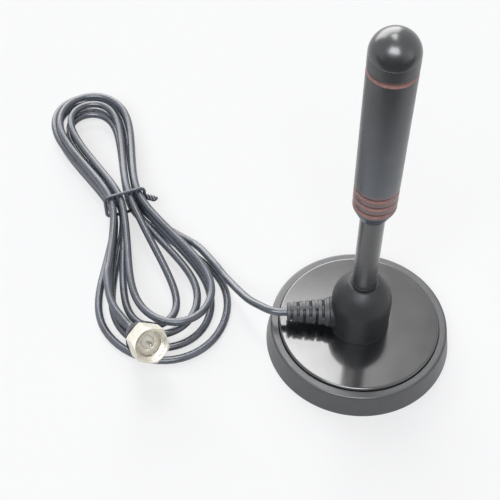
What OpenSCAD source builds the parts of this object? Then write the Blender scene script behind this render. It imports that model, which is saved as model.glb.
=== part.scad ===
// Magnetic-foot television aerial: a weighted round base, a moulded hub with a ribbed cable outlet,
// a slim stem, a grooved rod with a domed cap, and a thin coaxial lead tied in a hank with a screw-on plug.
// Millimetres, +Z up, origin on the floor under the middle of the base. The cable leaves towards -X.

/* [Base] */
// Radius of the rubber boot at the floor
boot_r = 30; // [24:0.5:40]
// How much the boot narrows from the floor to its upper ledge
boot_flare = 1.4; // [0.6:0.1:3]
// Width of the boot's ledge round the cover
boot_ledge = 2.4; // [1.8:0.1:4]
// Rounding of the boot's upper edge
boot_round = 0.7; // [0.3:0.1:1]
// Drop from the top of the cover down to the boot's ledge
ledge_drop = 1.1; // [0.6:0.1:2]
// Thickness of the cover's top
cover_t = 1.6; // [1:0.1:2.4]
// Thickness of the cover's side wall
cover_wall = 1.5; // [1:0.1:2.5]
// Rounding of the cover's upper edge
cover_round = 1; // [0.4:0.1:1.4]
// Thickness of the ring magnet
magnet_t = 7.2; // [5:0.1:12]
// Radius of the magnet's hole
magnet_hole_r = 10.5; // [10:0.1:14]
// Thickness of the floor pad
pad_t = 1.2; // [0.8:0.1:2]

/* [Base screws] */
// Number of screws that hold the hub on the cover
screw_count = 3; // [2:1:3]
// Radius of the circle the screws stand on
screw_ring_r = 6.4; // [6.2:0.1:6.8]
// Radius of a screw's shank
screw_r = 1.4; // [1:0.1:1.5]
// Length of the shank that enters the hub
screw_bite = 7; // [4:0.5:9]
// Radius of a screw's head
screw_head_r = 2.6; // [2:0.1:2.8]
// Height of a screw's head
screw_head_h = 1.9; // [1:0.1:2.4]
// Thickness of the washer under a screw's head
washer_t = 0.5; // [0.3:0.1:0.8]

/* [Hub] */
// Radius of the hub's wall
hub_r = 9.5; // [9:0.1:11]
// Height of the hub's upright wall
hub_wall_h = 11.6; // [10.5:0.1:14]
// Height of the whole hub
hub_h = 21; // [18:0.5:28]
// Radius of the hub's flared foot
hub_foot_r = 10.6; // [9.6:0.1:12]
// Height of the hub's flared foot
hub_foot_h = 0.9; // [0.5:0.1:1.5]
// Radius of the collar where the stem stands
collar_r = 4.7; // [4.2:0.1:5.5]
// Radius of the side boss that carries the cable outlet
boss_r = 5; // [4.8:0.1:5.4]
// Distance from the axis to the face of the side boss
boss_reach = 10; // [9.6:0.1:12]
// Radius of the wiring chamber in the hub
chamber_r = 2.6; // [2.2:0.1:2.8]
// Radius of the brass bush moulded into the hub
bush_r = 3.3; // [3:0.1:3.6]
// Length of the brass bush
bush_len = 9.4; // [7:0.1:9.6]
// Thickness of the bush's closed end
bush_floor = 0.6; // [0.4:0.1:1]

/* [Cable outlet] */
// Height of the outlet's axis above the cover
relief_axis_h = 4.9; // [4.8:0.1:5.4]
// Radius of the outlet's flange
relief_flange_r = 4.7; // [4.5:0.1:4.8]
// Thickness of the outlet's flange
relief_flange_t = 1; // [0.6:0.1:1.6]
// Radius of the ribs at the flange
relief_root_r = 4.4; // [3.8:0.1:4.5]
// Radius of the ribs at the outer end
relief_end_r = 3; // [2.6:0.1:3.6]
// Number of slots between the ribs
relief_slots = 6; // [3:1:6]
// Distance from one slot to the next
relief_pitch = 2; // [1.6:0.1:2.1]
// Width of a slot
relief_slot_w = 0.8; // [0.4:0.1:1]
// Radius of the sleeve inside the ribs
relief_core_r = 2; // [1.8:0.1:2.4]
// Width of a bridge across a slot
relief_bridge_w = 2.6; // [1.6:0.1:3]
// Extra width of the last rib
relief_tip = 0.5; // [0:0.1:1]
// Radius of the spigot that sits in the hub
spigot_r = 3; // [2.4:0.1:3.2]
// Length of the spigot
spigot_len = 4; // [2:0.5:5]

/* [Mast] */
// Radius of the stem
stem_r = 3.7; // [3.5:0.1:4.2]
// Length of stem that shows between seal and rod
stem_len = 31.6; // [20:0.2:60]
// Length of stem hidden in the rod
stem_socket = 7; // [5:0.5:9]
// Thickness of the seal ring under the stem
seal_t = 0.8; // [0.5:0.1:1.5]
// How far the seal ring stands out past the stem
seal_lip = 0.3; // [0.1:0.1:0.4]
// Radius of the threaded stud
stud_r = 2.5; // [2:0.1:2.6]
// Length of the stud in the hub's bush
stud_bite = 8.2; // [5:0.1:8.4]
// Length of the stud in the stem
stud_root = 8; // [4:0.5:12]
// Radius of the brass feed rod inside the stem
feed_rod_r = 1; // [0.6:0.1:1.4]

/* [Rod] */
// Radius of the rod at its lower shoulder
rod_low_r = 6.4; // [6.2:0.1:8]
// Radius of the rod at its top
rod_top_r = 6.8; // [6.2:0.1:8]
// Radius of the rod's lower end face
rod_mouth_r = 4.3; // [4.2:0.1:5]
// Height of the tapered shoulder
rod_taper_h = 4.6; // [3:0.1:6]
// Length of the rod without its cap
rod_len = 60.6; // [50:0.2:120]
// Thickness of the rod's wall at the top
rod_wall = 1.7; // [1.5:0.1:2]
// Number of grooves near the lower end
low_grooves = 3; // [1:1:4]
// Height of the first groove above the rod's lower end
low_groove_z = 6.2; // [5.8:0.1:8]
// Distance between the lower grooves
groove_pitch = 3.2; // [2.4:0.1:5]
// Distance of the upper groove below the rod's top
top_groove_drop = 4.5; // [2:0.1:10]
// Width of a groove
groove_w = 1.7; // [1:0.1:2.3]
// Depth of a groove
groove_depth = 0.45; // [0.3:0.05:0.7]
// Thickness of the red enamel in a groove
enamel_t = 0.2; // [0.1:0.05:0.25]
// Height of the straight rim under the cap's dome
cap_rim_h = 0.3; // [0.1:0.1:2]
// Length of the cap's spigot
cap_spigot = 4.6; // [2:0.2:8]

/* [Loading coil] */
// Radius of the coil former's core
former_r = 3.2; // [2:0.1:3.4]
// Length of the coil former
former_len = 42; // [30:1:43]
// Thickness of the former's end flanges
former_flange_t = 1.5; // [1:0.1:3]
// Diameter of the coil's wire
wire_d = 0.8; // [0.5:0.1:1]
// Number of turns in the coil
coil_turns = 11; // [6:1:14]

/* [Cable] */
// Diameter of the cable
cable_d = 2.6; // [2.2:0.1:2.7]
// Clear space between neighbouring strands of the hank
strand_gap = 0.65; // [0.55:0.05:0.8]
// Diameter of the wire tie round the hank
tie_d = 1.4; // [1:0.1:1.8]
// Length of the tie's twisted ends
tie_tail = 4.5; // [4:0.5:10]

/* [Plug] */
// Length of the plug's black sleeve
sleeve_len = 8.5; // [7:0.1:12]
// Radius of the sleeve next to the nut
sleeve_r = 4.3; // [4:0.1:4.4]
// Radius of the sleeve where the cable enters
sleeve_tail_r = 3.4; // [3:0.1:3.8]
// Radius of the plug's crimped barrel inside the sleeve
barrel_r = 2.7; // [2.5:0.1:2.8]
// Length of the barrel
barrel_len = 6; // [4:0.5:6.5]
// Thickness of the black washer behind the nut
gasket_t = 0.7; // [0.4:0.1:1]
// Radius of the black washer
gasket_r = 5.9; // [5:0.1:6]
// Width of the nut across its flats
nut_af = 11; // [10.6:0.1:12]
// Length of the nut
nut_len = 7.2; // [6.5:0.1:12]
// Radius of the nut's threaded bore
nut_bore_r = 4.6; // [4.4:0.05:4.8]
// Radius of the plug's neck under the nut's inner lip
neck_r = 3.4; // [3.2:0.1:3.6]
// Thickness of the nut's inner lip
lip_t = 1.6; // [1:0.1:2.2]
// Thickness of the flange that holds the nut
flange_t = 1.3; // [0.8:0.1:2]
// Radius of the plug's insulator
insulator_r = 2.1; // [1.6:0.1:2.2]
// Radius of the plug's centre pin
pin_r = 0.45; // [0.3:0.05:0.6]
// Distance from the pin's tip back to the nut's front face
pin_short = 0.6; // [0:0.1:3]

/* [Fits] */
// Radial clearance of a turning or threaded fit
run_clear = 0.05; // [0.02:0.01:0.08]
// Radial clearance of a glued or pressed fit
press_clear = 0.02; // [0.01:0.01:0.05]
// Clear space round soft pieces
soft_clear = 0.3; // [0.2:0.05:0.4]
// Gap between the boot and the cover
boot_clear = 0.2; // [0.1:0.05:0.4]

/* [Hidden] */
$fn = 96;

// Heights of the stack
cover_under = pad_t + magnet_t;
cover_top = cover_under + cover_t;
boot_h = cover_top - ledge_drop;
boot_lift = 0.2;
boot_top_r = boot_r - boot_flare;
boot_inner_r = boot_top_r - boot_ledge;
cover_r = boot_inner_r - boot_clear;
groove_lip = 0.5;
magnet_r = cover_r - cover_wall - soft_clear;
shoulder_z = cover_top + hub_wall_h;
hub_top = cover_top + hub_h;
relief_z = cover_top + relief_axis_h;
relief_end_x = -boss_reach - relief_flange_t - relief_slots * relief_pitch - relief_tip;
cable_r = cable_d / 2;
stem_z = hub_top + seal_t;
rod_z = stem_z + stem_len;
stem_top = rod_z + stem_socket;
rod_top = rod_z + rod_len;
rod_bore_r = rod_top_r - rod_wall;
spigot_bottom = rod_top - cap_spigot;
screw_hole_r = screw_r + press_clear;
screw_turn = 360 / screw_count;
drive_w = 0.6;
drive_depth = 1;
wire_r = wire_d / 2;
feed_wire_r = 0.35;
pigtail_r = 0.45;
ground_t = 0.4;
ground_wide = 1.6;
cable_end_x = -1.9;

// Round profile of the hub's shoulder: an arc that leaves the wall upright and meets the collar
dome_rise = hub_top - shoulder_z;
dome_in = hub_r - collar_r;
dome_arc_r = (dome_in * dome_in + dome_rise * dome_rise) / (2 * dome_in);
dome_sweep = asin(dome_rise / dome_arc_r);
dome_steps = 10;

// Corner arcs: points of a quarter round from angle a0 to a1 about c
function arc(c, r, a0, a1, steps = 6) =
    [for (i = [0:steps]) let(a = a0 + (a1 - a0) * i / steps) c + r * [cos(a), sin(a)]];

// Radius of the rod's straight-tapered outside at a height above its lower end
function rod_r(h) = rod_low_r + (rod_top_r - rod_low_r) * (h - rod_taper_h) / (rod_len - rod_taper_h);
groove_heights = concat([for (i = [0:low_grooves - 1]) low_groove_z + i * groove_pitch],
    [rod_len - top_groove_drop]);
groove_flat = 0.15;

// Cable lead: hand-placed points from the outlet down to the floor and along it to the hank
lead_points = [[0, 0, 0], [-3, 1, -0.4], [-6.5, 4, -1.8], [-9.5, 7.5, -3.8], [-12.3, 12, -6],
    [-15.2, 17, -8.1], [-18.2, 21.8, -9.4], [-21.3, 27, -10.1], [-26.1, 34.7, -11.8]];

// Hank: loops drawn in at a tied waist. u runs along the hank away from the viewer, v to the right
tie_at = [-80, 54];
hank_turn = 20.5;
layers = 3;
slots = 2;
loops = layers * slots;
floor_clear = 0.05;
strand_step = cable_d + strand_gap;
waist_half = 5;
waist_lift = tie_d + soft_clear;
// How far the outer strands bow out past their columns under the tie
waist_swell = 0.7;
run_share = 0.42;
run_spread = 0.55;
// Left half-width, right half-width and reach of each turn at the near end
near_turns = [[21.5, 21.4, 66], [17, 15.8, 61], [16.4, 11.6, 57.5], [12.6, 4, 53.5], [8.5, 16.6, 57]];
// The same sizes of each turn at the far end
far_turns = [[13.2, 11.2, 58.5], [9.2, 7.7, 54], [14.2, 10.6, 58.6], [10, 6.9, 49], [8.6, 8.2, 51],
    [12.4, 12, 55.4]];
// Sideways reach of the strands that leave the hank for the outlet and for the plug
lead_spread = 24;
tail_spread = 15.6;
end_reach = 40;
end_overrun = 1.7;
// Share of a turn's half-width and reach at which its rounding points lie
lobe_side = 1.22;
lobe_corner = 0.56;
lobe_over = 0.08;
tie_tail_lean = [-20, 35, 0];
tie_twist = -540;
tie_bite = 0.9;
loop_rings = 24;
turn_points = 8;

// Plug: where the cable enters it, its lean from upright and its heading
plug_at = [-72.2, -5.1, 10.8];
plug_lean = 54;
plug_heading = -61;
plug_axis = [sin(plug_lean) * cos(plug_heading), sin(plug_lean) * sin(plug_heading), cos(plug_lean)];
tail_points = [[-83.6, 19, 8.4], [-81, 8, 8.3]];
nut_z = sleeve_len + gasket_t + 2 * run_clear;
flange_z = nut_z + lip_t + 2 * run_clear;
flange_r = nut_bore_r - 2 * run_clear;
nut_front = nut_z + nut_len;
nut_bevel = 30;

// A strand of the hank is [layer, slot]: slots count inwards, layer 0 lies on the floor
function strand(k) =
    let(layer = floor(k / slots), slot = k % slots) [layer, layer < layers - 1 ? slot : slots - 1 - slot];
function row_z(row) = cable_r + floor_clear + row * strand_step;
function waist_v(s) = (slots - 0.5 - s[1]) * strand_step;

// Control points of one side of a turn, from the waist out to the rounding
function turn_side(hand, s, half, mid, wide, reach, lobe_z) =
    let(v0 = hand * waist_v(s), v1 = hand * half, z0 = row_z(s[0]), round_u = reach - wide)
    [[waist_half, v0, z0 + waist_lift],
     [waist_half + run_share * (round_u - waist_half), v0 + run_spread * (v1 - v0), z0],
     [round_u, mid + (v1 - mid) * lobe_side, lobe_z],
     [reach + lobe_over * wide, mid + (v1 - mid) * lobe_corner, lobe_z]];
function backwards(list) = [for (i = [len(list) - 1:-1:0]) list[i]];
function flip_u(list, end) = [for (p = list) [end * p[0], p[1], p[2]]];
function half_turn(end, left, right, size, right_first) =
    let(mid = (size[1] - size[0]) / 2, wide = (size[1] + size[0]) / 2, z = row_z(left[0]),
        a = turn_side(-1, left, size[0], mid, wide, size[2], z),
        b = turn_side(1, right, size[1], mid, wide, size[2], z))
    flip_u(right_first ? concat(b, backwards(a)) : concat(a, backwards(b)), end);
function run_end(hand, s, half) =
    let(v0 = hand * waist_v(s), z0 = row_z(s[0]), run = run_share * (end_reach - waist_half),
        step = [-run, run_spread * (hand * half - v0), -waist_lift],
        first = [-waist_half, v0, z0 + waist_lift])
    [first, first + step, first + end_overrun * [step[0], step[1], 0]];
hank_controls = concat(
    backwards(run_end(1, strand(0), lead_spread)),
    [for (k = [0:loops - 1]) each concat(
        half_turn(1, strand(k), strand(k), far_turns[k], true),
        k < loops - 1 ? half_turn(-1, strand(k), strand(k + 1), near_turns[k], false) : [])],
    run_end(-1, strand(loops - 1), tail_spread));

// Smooth curves through or near a list of points
function spline_at(c, t) =
    let(i = min(floor(t), len(c) - 4), f = t - i, g = 1 - f)
    (g * g * g * c[i] + (3 * f * f * f - 6 * f * f + 4) * c[i + 1]
     + (-3 * f * f * f + 3 * f * f + 3 * f + 1) * c[i + 2] + f * f * f * c[i + 3]) / 6;
function through_at(a, b, c, d, f) =
    (2 * b + (c - a) * f + (2 * a - 5 * b + 4 * c - d) * f * f + (3 * b - a - 3 * c + d) * f * f * f) / 2;
function through(p, per) =
    let(q = concat([2 * p[0] - p[1]], p, [2 * p[len(p) - 1] - p[len(p) - 2]]))
    concat([for (i = [1:len(p) - 1], k = [0:per - 1])
        through_at(q[i - 1], q[i], q[i + 1], q[i + 2], k / per)], [p[len(p) - 1]]);
function unit(v) = v / norm(v);
function hank_place(q) =
    [tie_at[0] - sin(hank_turn) * q[0] + cos(hank_turn) * q[1],
     tie_at[1] + cos(hank_turn) * q[0] + sin(hank_turn) * q[1], q[2]];

hank_span = len(hank_controls) - 3;
hank_step = 2 * turn_points / loop_rings;
hank_count = round(hank_span / hank_step);
hank_curve = [for (i = [0:hank_count]) hank_place(spline_at(hank_controls, hank_span * i / hank_count))];
hank_in = unit(hank_curve[0] - hank_place(spline_at(hank_controls, 0.05)));
hank_out = unit(hank_curve[hank_count] - hank_place(spline_at(hank_controls, hank_span - 0.05)));
hank_start = hank_curve[0] + hank_in * cable_d;
hank_end = hank_curve[hank_count] + hank_out * cable_d;
hank_path = concat([hank_start], hank_curve, [hank_end]);
lead_start = [relief_end_x, 0, relief_z];
lead_path = concat([lead_start], through(concat([for (p = lead_points) lead_start + p - [cable_d, 0, 0]],
    [hank_start + hank_in * cable_d]), 2), [hank_start]);
tail_path = concat([hank_end], through(concat([hank_end + hank_out * 2 * cable_d], tail_points,
    [plug_at - plug_axis * 2 * cable_d]), 2), [plug_at, plug_at + plug_axis * barrel_len]);

// Least clear space between strands, on points far enough apart along the cable
gap_fine = 16;
gap_points = [for (i = [0:gap_fine * hank_span]) spline_at(hank_controls, i / gap_fine)];
gap_skip = gap_fine;
function least_gap() =
    min([for (i = [0:len(gap_points) - gap_skip - 1], j = [i + gap_skip:len(gap_points) - 1])
        norm(gap_points[i] - gap_points[j])]) - cable_d;
function path_length(p) = let(d = [for (i = [1:len(p) - 1]) norm(p[i] - p[i - 1])]) d * [for (x = d) 1];

// Tube along a path: one ring of points square to the path at each place, closed by flat ends
function headings(p) =
    let(n = len(p) - 1)
    [for (i = [0:n]) unit(p[min(i + 1, n)] - p[max(i - 1, 0)])];
function any_across(t) = unit(cross(t, abs(t[2]) < 0.8 ? [0, 0, 1] : [1, 0, 0]));
function carried(n, t) = unit(n - (n * t) * t);
module tube(path, r, sides) {
    t = headings(path);
    last = len(path) - 1;
    across = [for (i = 0, n = any_across(t[0]); i <= last; i = i + 1, n = carried(n, t[min(i, last)])) n];
    points = [for (i = [0:last], j = [0:sides - 1]) let(a = 360 * j / sides)
        path[i] + r * (cos(a) * across[i] + sin(a) * cross(t[i], across[i]))];
    function at(i, j) = i * sides + j % sides;
    faces = concat(
        [for (i = [0:last - 1], j = [0:sides - 1]) each
            [[at(i, j), at(i + 1, j), at(i + 1, j + 1)], [at(i, j), at(i + 1, j + 1), at(i, j + 1)]]],
        [for (j = [1:sides - 2]) [at(0, 0), at(0, j), at(0, j + 1)]],
        [for (j = [1:sides - 2]) [at(last, 0), at(last, j + 1), at(last, j)]]);
    polyhedron(points, faces);
}

// Round rod from one point to another along an axis direction
module along_x(x0, x1, r, z) { translate([x0, 0, z]) rotate([0, 90, 0]) cylinder(h = x1 - x0, r = r); }
module ring(z0, z1, inner, outer) {
    translate([0, 0, z0]) difference() {
        cylinder(h = z1 - z0, r = outer);
        translate([0, 0, -1]) cylinder(h = z1 - z0 + 2, r = inner);
    }
}
module at_screws() {
    for (i = [0:screw_count - 1]) rotate([0, 0, i * screw_turn]) translate([screw_ring_r, 0, 0]) children();
}
module at_plug() { translate(plug_at) rotate([0, plug_lean, plug_heading]) children(); }

// Rubber boot: a conical skirt with a ledge that frames the cover
module rubber_boot() {
    ledge_edge = [boot_top_r - boot_round, boot_h - boot_round];
    color("#3c3e40") rotate_extrude() polygon(concat(
        [[boot_inner_r, boot_lift], [boot_r, boot_lift]],
        arc(ledge_edge, boot_round, 0, 90),
        [[boot_inner_r + groove_lip, boot_h], [boot_inner_r, boot_h - groove_lip]]));
}

// Lacquered cover: an upturned cup with a rounded rim, holes for the screws and one for the braid
module base_cover() {
    color("#101113") difference() {
        rotate_extrude() polygon(concat(
            [[0, cover_under], [cover_r - cover_wall, cover_under], [cover_r - cover_wall, pad_t],
             [cover_r, pad_t]],
            arc([cover_r - cover_round, cover_top - cover_round], cover_round, 0, 90),
            [[0, cover_top]]));
        translate([0, 0, cover_under - 1]) cylinder(h = cover_t + 2, r = chamber_r);
        at_screws() translate([0, 0, cover_under - 1]) cylinder(h = cover_t + 2, r = screw_hole_r);
    }
}

// Ferrite ring that holds the base to steel
module ring_magnet() { color("#4a4a4c") ring(pad_t, cover_under, magnet_hole_r, magnet_r); }

// Soft pad that the base stands on
module floor_pad() { color("#1c1c1d") cylinder(h = pad_t, r = cover_r); }

// Screws that pull the hub down on the cover
module base_screws() {
    color("#b8bcc0") at_screws() {
        translate([0, 0, cover_under - washer_t - screw_head_h]) difference() {
            cylinder(h = screw_head_h, r = screw_head_r);
            for (a = [0, 90]) rotate([0, 0, a]) translate([-screw_r, -drive_w / 2, -1])
                cube([2 * screw_r, drive_w, 1 + drive_depth]);
        }
        translate([0, 0, cover_under - washer_t]) cylinder(h = washer_t + cover_t + screw_bite, r = screw_r);
    }
}

// Flat washers under the screw heads
module screw_washers() {
    color("#c9ccd0") at_screws() ring(cover_under - washer_t, cover_under, screw_hole_r, screw_head_r);
}

// Tinned ring under the cover to which the cable's braid is soldered
module ground_ring() {
    color("#c2b280") ring(cover_under - ground_t, cover_under, chamber_r, chamber_r + ground_wide / 2);
}

// Moulded hub: flared foot, upright wall, rounded shoulder and a side boss for the cable outlet
module hub_body() {
    color("#1b1c1e") difference() {
        union() {
            rotate_extrude() polygon(concat(
                [[0, cover_top], [hub_foot_r, cover_top], [hub_foot_r, cover_top + hub_foot_h / 2],
                 [hub_r, cover_top + hub_foot_h]],
                arc([hub_r - dome_arc_r, shoulder_z], dome_arc_r, 0, dome_sweep, dome_steps),
                [[0, hub_top]]));
            intersection() {
                along_x(-boss_reach, 0, boss_r, relief_z);
                translate([-boss_reach - 1, -boss_r, cover_top]) cube([boss_reach + 1, 2 * boss_r, hub_h]);
            }
        }
        translate([0, 0, hub_top - bush_len]) cylinder(h = bush_len + 1, r = bush_r + press_clear);
        translate([0, 0, cover_top - 1]) cylinder(h = hub_h - bush_len + 1.5, r = chamber_r);
        along_x(-boss_reach - 1, -boss_reach + spigot_len, spigot_r + press_clear, relief_z);
        along_x(-boss_reach - relief_flange_t, -boss_reach, relief_flange_r + press_clear, relief_z);
        along_x(-boss_reach, 0, cable_r + run_clear, relief_z);
        at_screws() translate([0, 0, cover_top - 1])
            cylinder(h = screw_bite + 1 + soft_clear, r = screw_hole_r);
    }
}

// Brass bush that takes the mast's stud
module hub_bush() {
    color("#b9923f") translate([0, 0, hub_top - bush_len]) difference() {
        cylinder(h = bush_len, r = bush_r);
        translate([0, 0, bush_floor]) cylinder(h = bush_len, r = stud_r + run_clear);
    }
}

// Ribbed cable outlet: slots that open by turns above and below, then at the two sides
module strain_relief() {
    slot_span = relief_slots * relief_pitch;
    root_x = -boss_reach - relief_flange_t;
    color("#1b1c1e") difference() {
        union() {
            along_x(-boss_reach, -boss_reach + spigot_len, spigot_r, relief_z);
            along_x(root_x, -boss_reach, relief_flange_r, relief_z);
            difference() {
                translate([relief_end_x, 0, relief_z]) rotate([0, 90, 0])
                    cylinder(h = root_x - relief_end_x, r1 = relief_end_r, r2 = relief_root_r);
                for (i = [0:relief_slots - 1]) translate([root_x - (i + 0.5) * relief_pitch, 0, relief_z])
                    rotate([90 * (i % 2), 0, 0]) relief_slot();
            }
        }
        along_x(relief_end_x - 1, 0, cable_r + run_clear, relief_z);
    }
}

// One slot of the outlet: a ring cut down to the sleeve, less the two bridges left standing
module relief_slot() {
    rotate([0, 90, 0]) difference() {
        translate([0, 0, -relief_slot_w / 2]) cylinder(h = relief_slot_w, r = relief_flange_r + 1);
        translate([0, 0, -relief_slot_w]) cylinder(h = 2 * relief_slot_w, r = relief_core_r);
        translate([-relief_bridge_w / 2, -2 * relief_flange_r, -relief_slot_w])
            cube([relief_bridge_w, 4 * relief_flange_r, 2 * relief_slot_w]);
    }
}

// Cable inside the outlet and the hub
module cable_entry() { color("#232427") along_x(relief_end_x, cable_end_x, cable_r, relief_z); }

// Centre conductor, turned up to the brass bush
module feed_wire() {
    color("#c98347") {
        along_x(cable_end_x, 0, feed_wire_r, relief_z);
        translate([0, 0, relief_z]) sphere(r = feed_wire_r);
        translate([0, 0, relief_z]) cylinder(h = hub_top - bush_len - relief_z, r = feed_wire_r);
    }
}

// Braid, gathered and turned down through the cover to the tinned ring
module braid_pigtail() {
    drop_x = cable_end_x + pigtail_r;
    top_z = relief_z - cable_r + pigtail_r;
    low_z = cover_under - ground_t - pigtail_r;
    color("#a9a9a6") {
        along_x(cable_end_x, drop_x, pigtail_r, top_z);
        translate([drop_x, 0, top_z]) sphere(r = pigtail_r);
        translate([drop_x, 0, low_z]) cylinder(h = top_z - low_z, r = pigtail_r);
        translate([drop_x, 0, low_z]) sphere(r = pigtail_r);
        along_x(-chamber_r - ground_wide / 2, drop_x, pigtail_r, low_z);
    }
}

// Seal between the hub's collar and the stem
module seal_ring() { color("#2b2b2c") ring(hub_top, stem_z, stud_r + run_clear, stem_r + seal_lip); }

// Black tube between hub and rod
module stem() {
    color("#26282b") difference() {
        translate([0, 0, stem_z]) cylinder(h = stem_top - stem_z, r = stem_r);
        translate([0, 0, stem_z - 1]) cylinder(h = stud_root + 1 + press_clear, r = stud_r + press_clear);
        translate([0, 0, stem_z]) cylinder(h = stem_top - stem_z + 1, r = feed_rod_r + press_clear);
    }
}

// Threaded stud pressed into the stem
module stem_stud() {
    color("#b9923f") translate([0, 0, hub_top - stud_bite])
        cylinder(h = stud_bite + seal_t + stud_root, r = stud_r);
}

// Brass rod that carries the signal through the stem to the coil
module feed_rod() {
    rod_foot = stem_z + stud_root;
    color("#b9923f") translate([0, 0, rod_foot])
        cylinder(h = stem_top + former_flange_t - rod_foot, r = feed_rod_r);
}

// Profile of one groove at height h: half width, depth and a small flat, with the surface moved by shift
function groove_line(h, shift = 0) =
    let(r = rod_r(h), deep = groove_depth - shift)
    [[rod_r(h - groove_w / 2), h - groove_w / 2], [r - deep, h - groove_flat],
     [r - deep, h + groove_flat], [rod_r(h + groove_w / 2), h + groove_w / 2]];

// Turned rod: tapered shoulder, slightly widening body, cut grooves, bored for the coil
module rod_shell() {
    color("#222427") translate([0, 0, rod_z]) difference() {
        rotate_extrude() polygon(concat(
            [[0, 0], [rod_mouth_r, 0], [rod_low_r, rod_taper_h]],
            [for (h = groove_heights) each groove_line(h)],
            [[rod_top_r, rod_len], [0, rod_len]]));
        translate([0, 0, -1]) cylinder(h = stem_socket + 2, r = stem_r + press_clear);
        translate([0, 0, stem_socket]) cylinder(h = rod_len, r = rod_bore_r);
    }
}

// Red enamel lying in one groove
module enamel_band(h) {
    translate([0, 0, rod_z]) rotate_extrude()
        polygon(concat(groove_line(h), backwards(groove_line(h, enamel_t))));
}
module low_groove_bands() { color("#b0463c") for (i = [0:low_grooves - 1]) enamel_band(groove_heights[i]); }
module top_groove_band() { color("#b0463c") enamel_band(groove_heights[low_grooves]); }

// Domed cap with a spigot in the rod's bore
module rod_cap() {
    dome_z = rod_top + cap_rim_h;
    color("#0e0f11") union() {
        translate([0, 0, rod_top]) cylinder(h = cap_rim_h, r = rod_top_r);
        translate([0, 0, dome_z]) intersection() {
            sphere(r = rod_top_r);
            cylinder(h = 2 * rod_top_r, r = 2 * rod_top_r);
        }
        translate([0, 0, spigot_bottom]) cylinder(h = cap_spigot + cap_rim_h, r = rod_bore_r - press_clear);
    }
}

// Bobbin inside the rod
module coil_former() {
    color("#d8d4c6") translate([0, 0, stem_top]) difference() {
        union() {
            cylinder(h = former_len, r = former_r);
            for (z = [0, former_len - former_flange_t]) translate([0, 0, z])
                cylinder(h = former_flange_t, r = rod_bore_r - press_clear);
        }
        translate([0, 0, -1]) cylinder(h = former_flange_t + 1 + soft_clear, r = feed_rod_r + press_clear);
    }
}

// Copper winding on the bobbin, as one wire with straight ends
module loading_coil() {
    turn_rings = 8;
    wind_r = (former_r + wire_r + run_clear) / cos(180 / turn_rings);
    z0 = stem_top + former_flange_t + 2 * wire_d;
    rise = former_len - 2 * former_flange_t - 4 * wire_d;
    count = coil_turns * turn_rings;
    helix = [for (i = [0:count]) let(a = 360 * i / turn_rings)
        [wind_r * cos(a), wind_r * sin(a), z0 + rise * i / count]];
    ends = [[wind_r, -wire_d, z0], [wind_r, wire_d, z0 + rise]];
    color("#b8703a") tube(concat([ends[0]], helix, [ends[1]]), wire_r, 6);
    echo(coil_gap = rise / coil_turns - wire_d);
}

// Free cable from the outlet to the hank
module cable_lead() {
    color("#2a2b2f") tube(lead_path, cable_r, 8);
    echo(lead_length = path_length(lead_path));
}

// Tied hank of cable, one unbroken length
module cable_hank() {
    color("#2a2b2f") tube(hank_path, cable_r, 6);
    echo(hank_length = path_length(hank_path), hank_least_gap = least_gap());
}

// Free cable from the hank into the plug
module cable_tail() {
    color("#2a2b2f") tube(tail_path, cable_r, 8);
    echo(tail_length = path_length(tail_path));
}

// Wire tie round the waist of the hank, its ends twisted together
module wire_tie() {
    tie_r = tie_d / 2;
    corner = cable_r + soft_clear + tie_r;
    half = (slots - 0.5) * strand_step + waist_swell;
    low = row_z(0) + waist_lift;
    high = row_z(layers - 1) + waist_lift;
    color("#1a1a1c") translate([tie_at[0], tie_at[1], 0]) rotate([0, 0, hank_turn]) rotate([90, 0, 0]) {
        for (side = [-1, 1]) translate([side * (half + corner), low, 0])
            rotate([-90, 0, 0]) cylinder(h = high - low, r = tie_r);
        for (z = [low - corner, high + corner]) translate([-half, z, 0])
            rotate([0, 90, 0]) cylinder(h = 2 * half, r = tie_r);
        for (c = [[half, high, 0], [-half, high, 90], [-half, low, 180], [half, low, 270]])
            translate([c[0], c[1], 0]) rotate([0, 0, c[2]])
                rotate_extrude(angle = 90) translate([corner, 0]) circle(r = tie_r);
        translate([half + corner + tie_r * tie_bite, high - corner, 0]) rotate(tie_tail_lean)
            linear_extrude(height = tie_tail, twist = tie_twist, slices = 24, $fn = 8)
                for (side = [-1, 1]) translate([side * tie_r * tie_bite, 0]) circle(r = tie_r);
    }
}

// Black sleeve over the plug's barrel
module plug_sleeve() {
    color("#2d2e31") at_plug() difference() {
        cylinder(h = sleeve_len, r1 = sleeve_tail_r, r2 = sleeve_r);
        translate([0, 0, -1]) cylinder(h = sleeve_len + 2, r = cable_r + run_clear);
        translate([0, 0, sleeve_len - barrel_len]) cylinder(h = sleeve_len, r = barrel_r + press_clear);
    }
}

// Nickel plug body: barrel, neck and the flange that keeps the nut
module plug_body() {
    color("#c9c6bd") at_plug() difference() {
        union() {
            translate([0, 0, sleeve_len - barrel_len]) cylinder(h = barrel_len, r = barrel_r);
            translate([0, 0, sleeve_len]) cylinder(h = flange_z - sleeve_len, r = neck_r);
            translate([0, 0, flange_z]) cylinder(h = flange_t, r = flange_r);
        }
        translate([0, 0, -1]) cylinder(h = sleeve_len + 1, r = cable_r + run_clear);
        translate([0, 0, barrel_len]) cylinder(h = nut_front, r = insulator_r + press_clear);
    }
}

// Thin black washer behind the nut
module plug_gasket() {
    color("#161617") at_plug() ring(sleeve_len, sleeve_len + gasket_t, neck_r + press_clear, gasket_r);
}

// White insulator round the pin
module plug_insulator() {
    color("#d9d6cc") at_plug()
        ring(barrel_len + run_clear, flange_z + flange_t, pin_r + press_clear, insulator_r);
}

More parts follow.
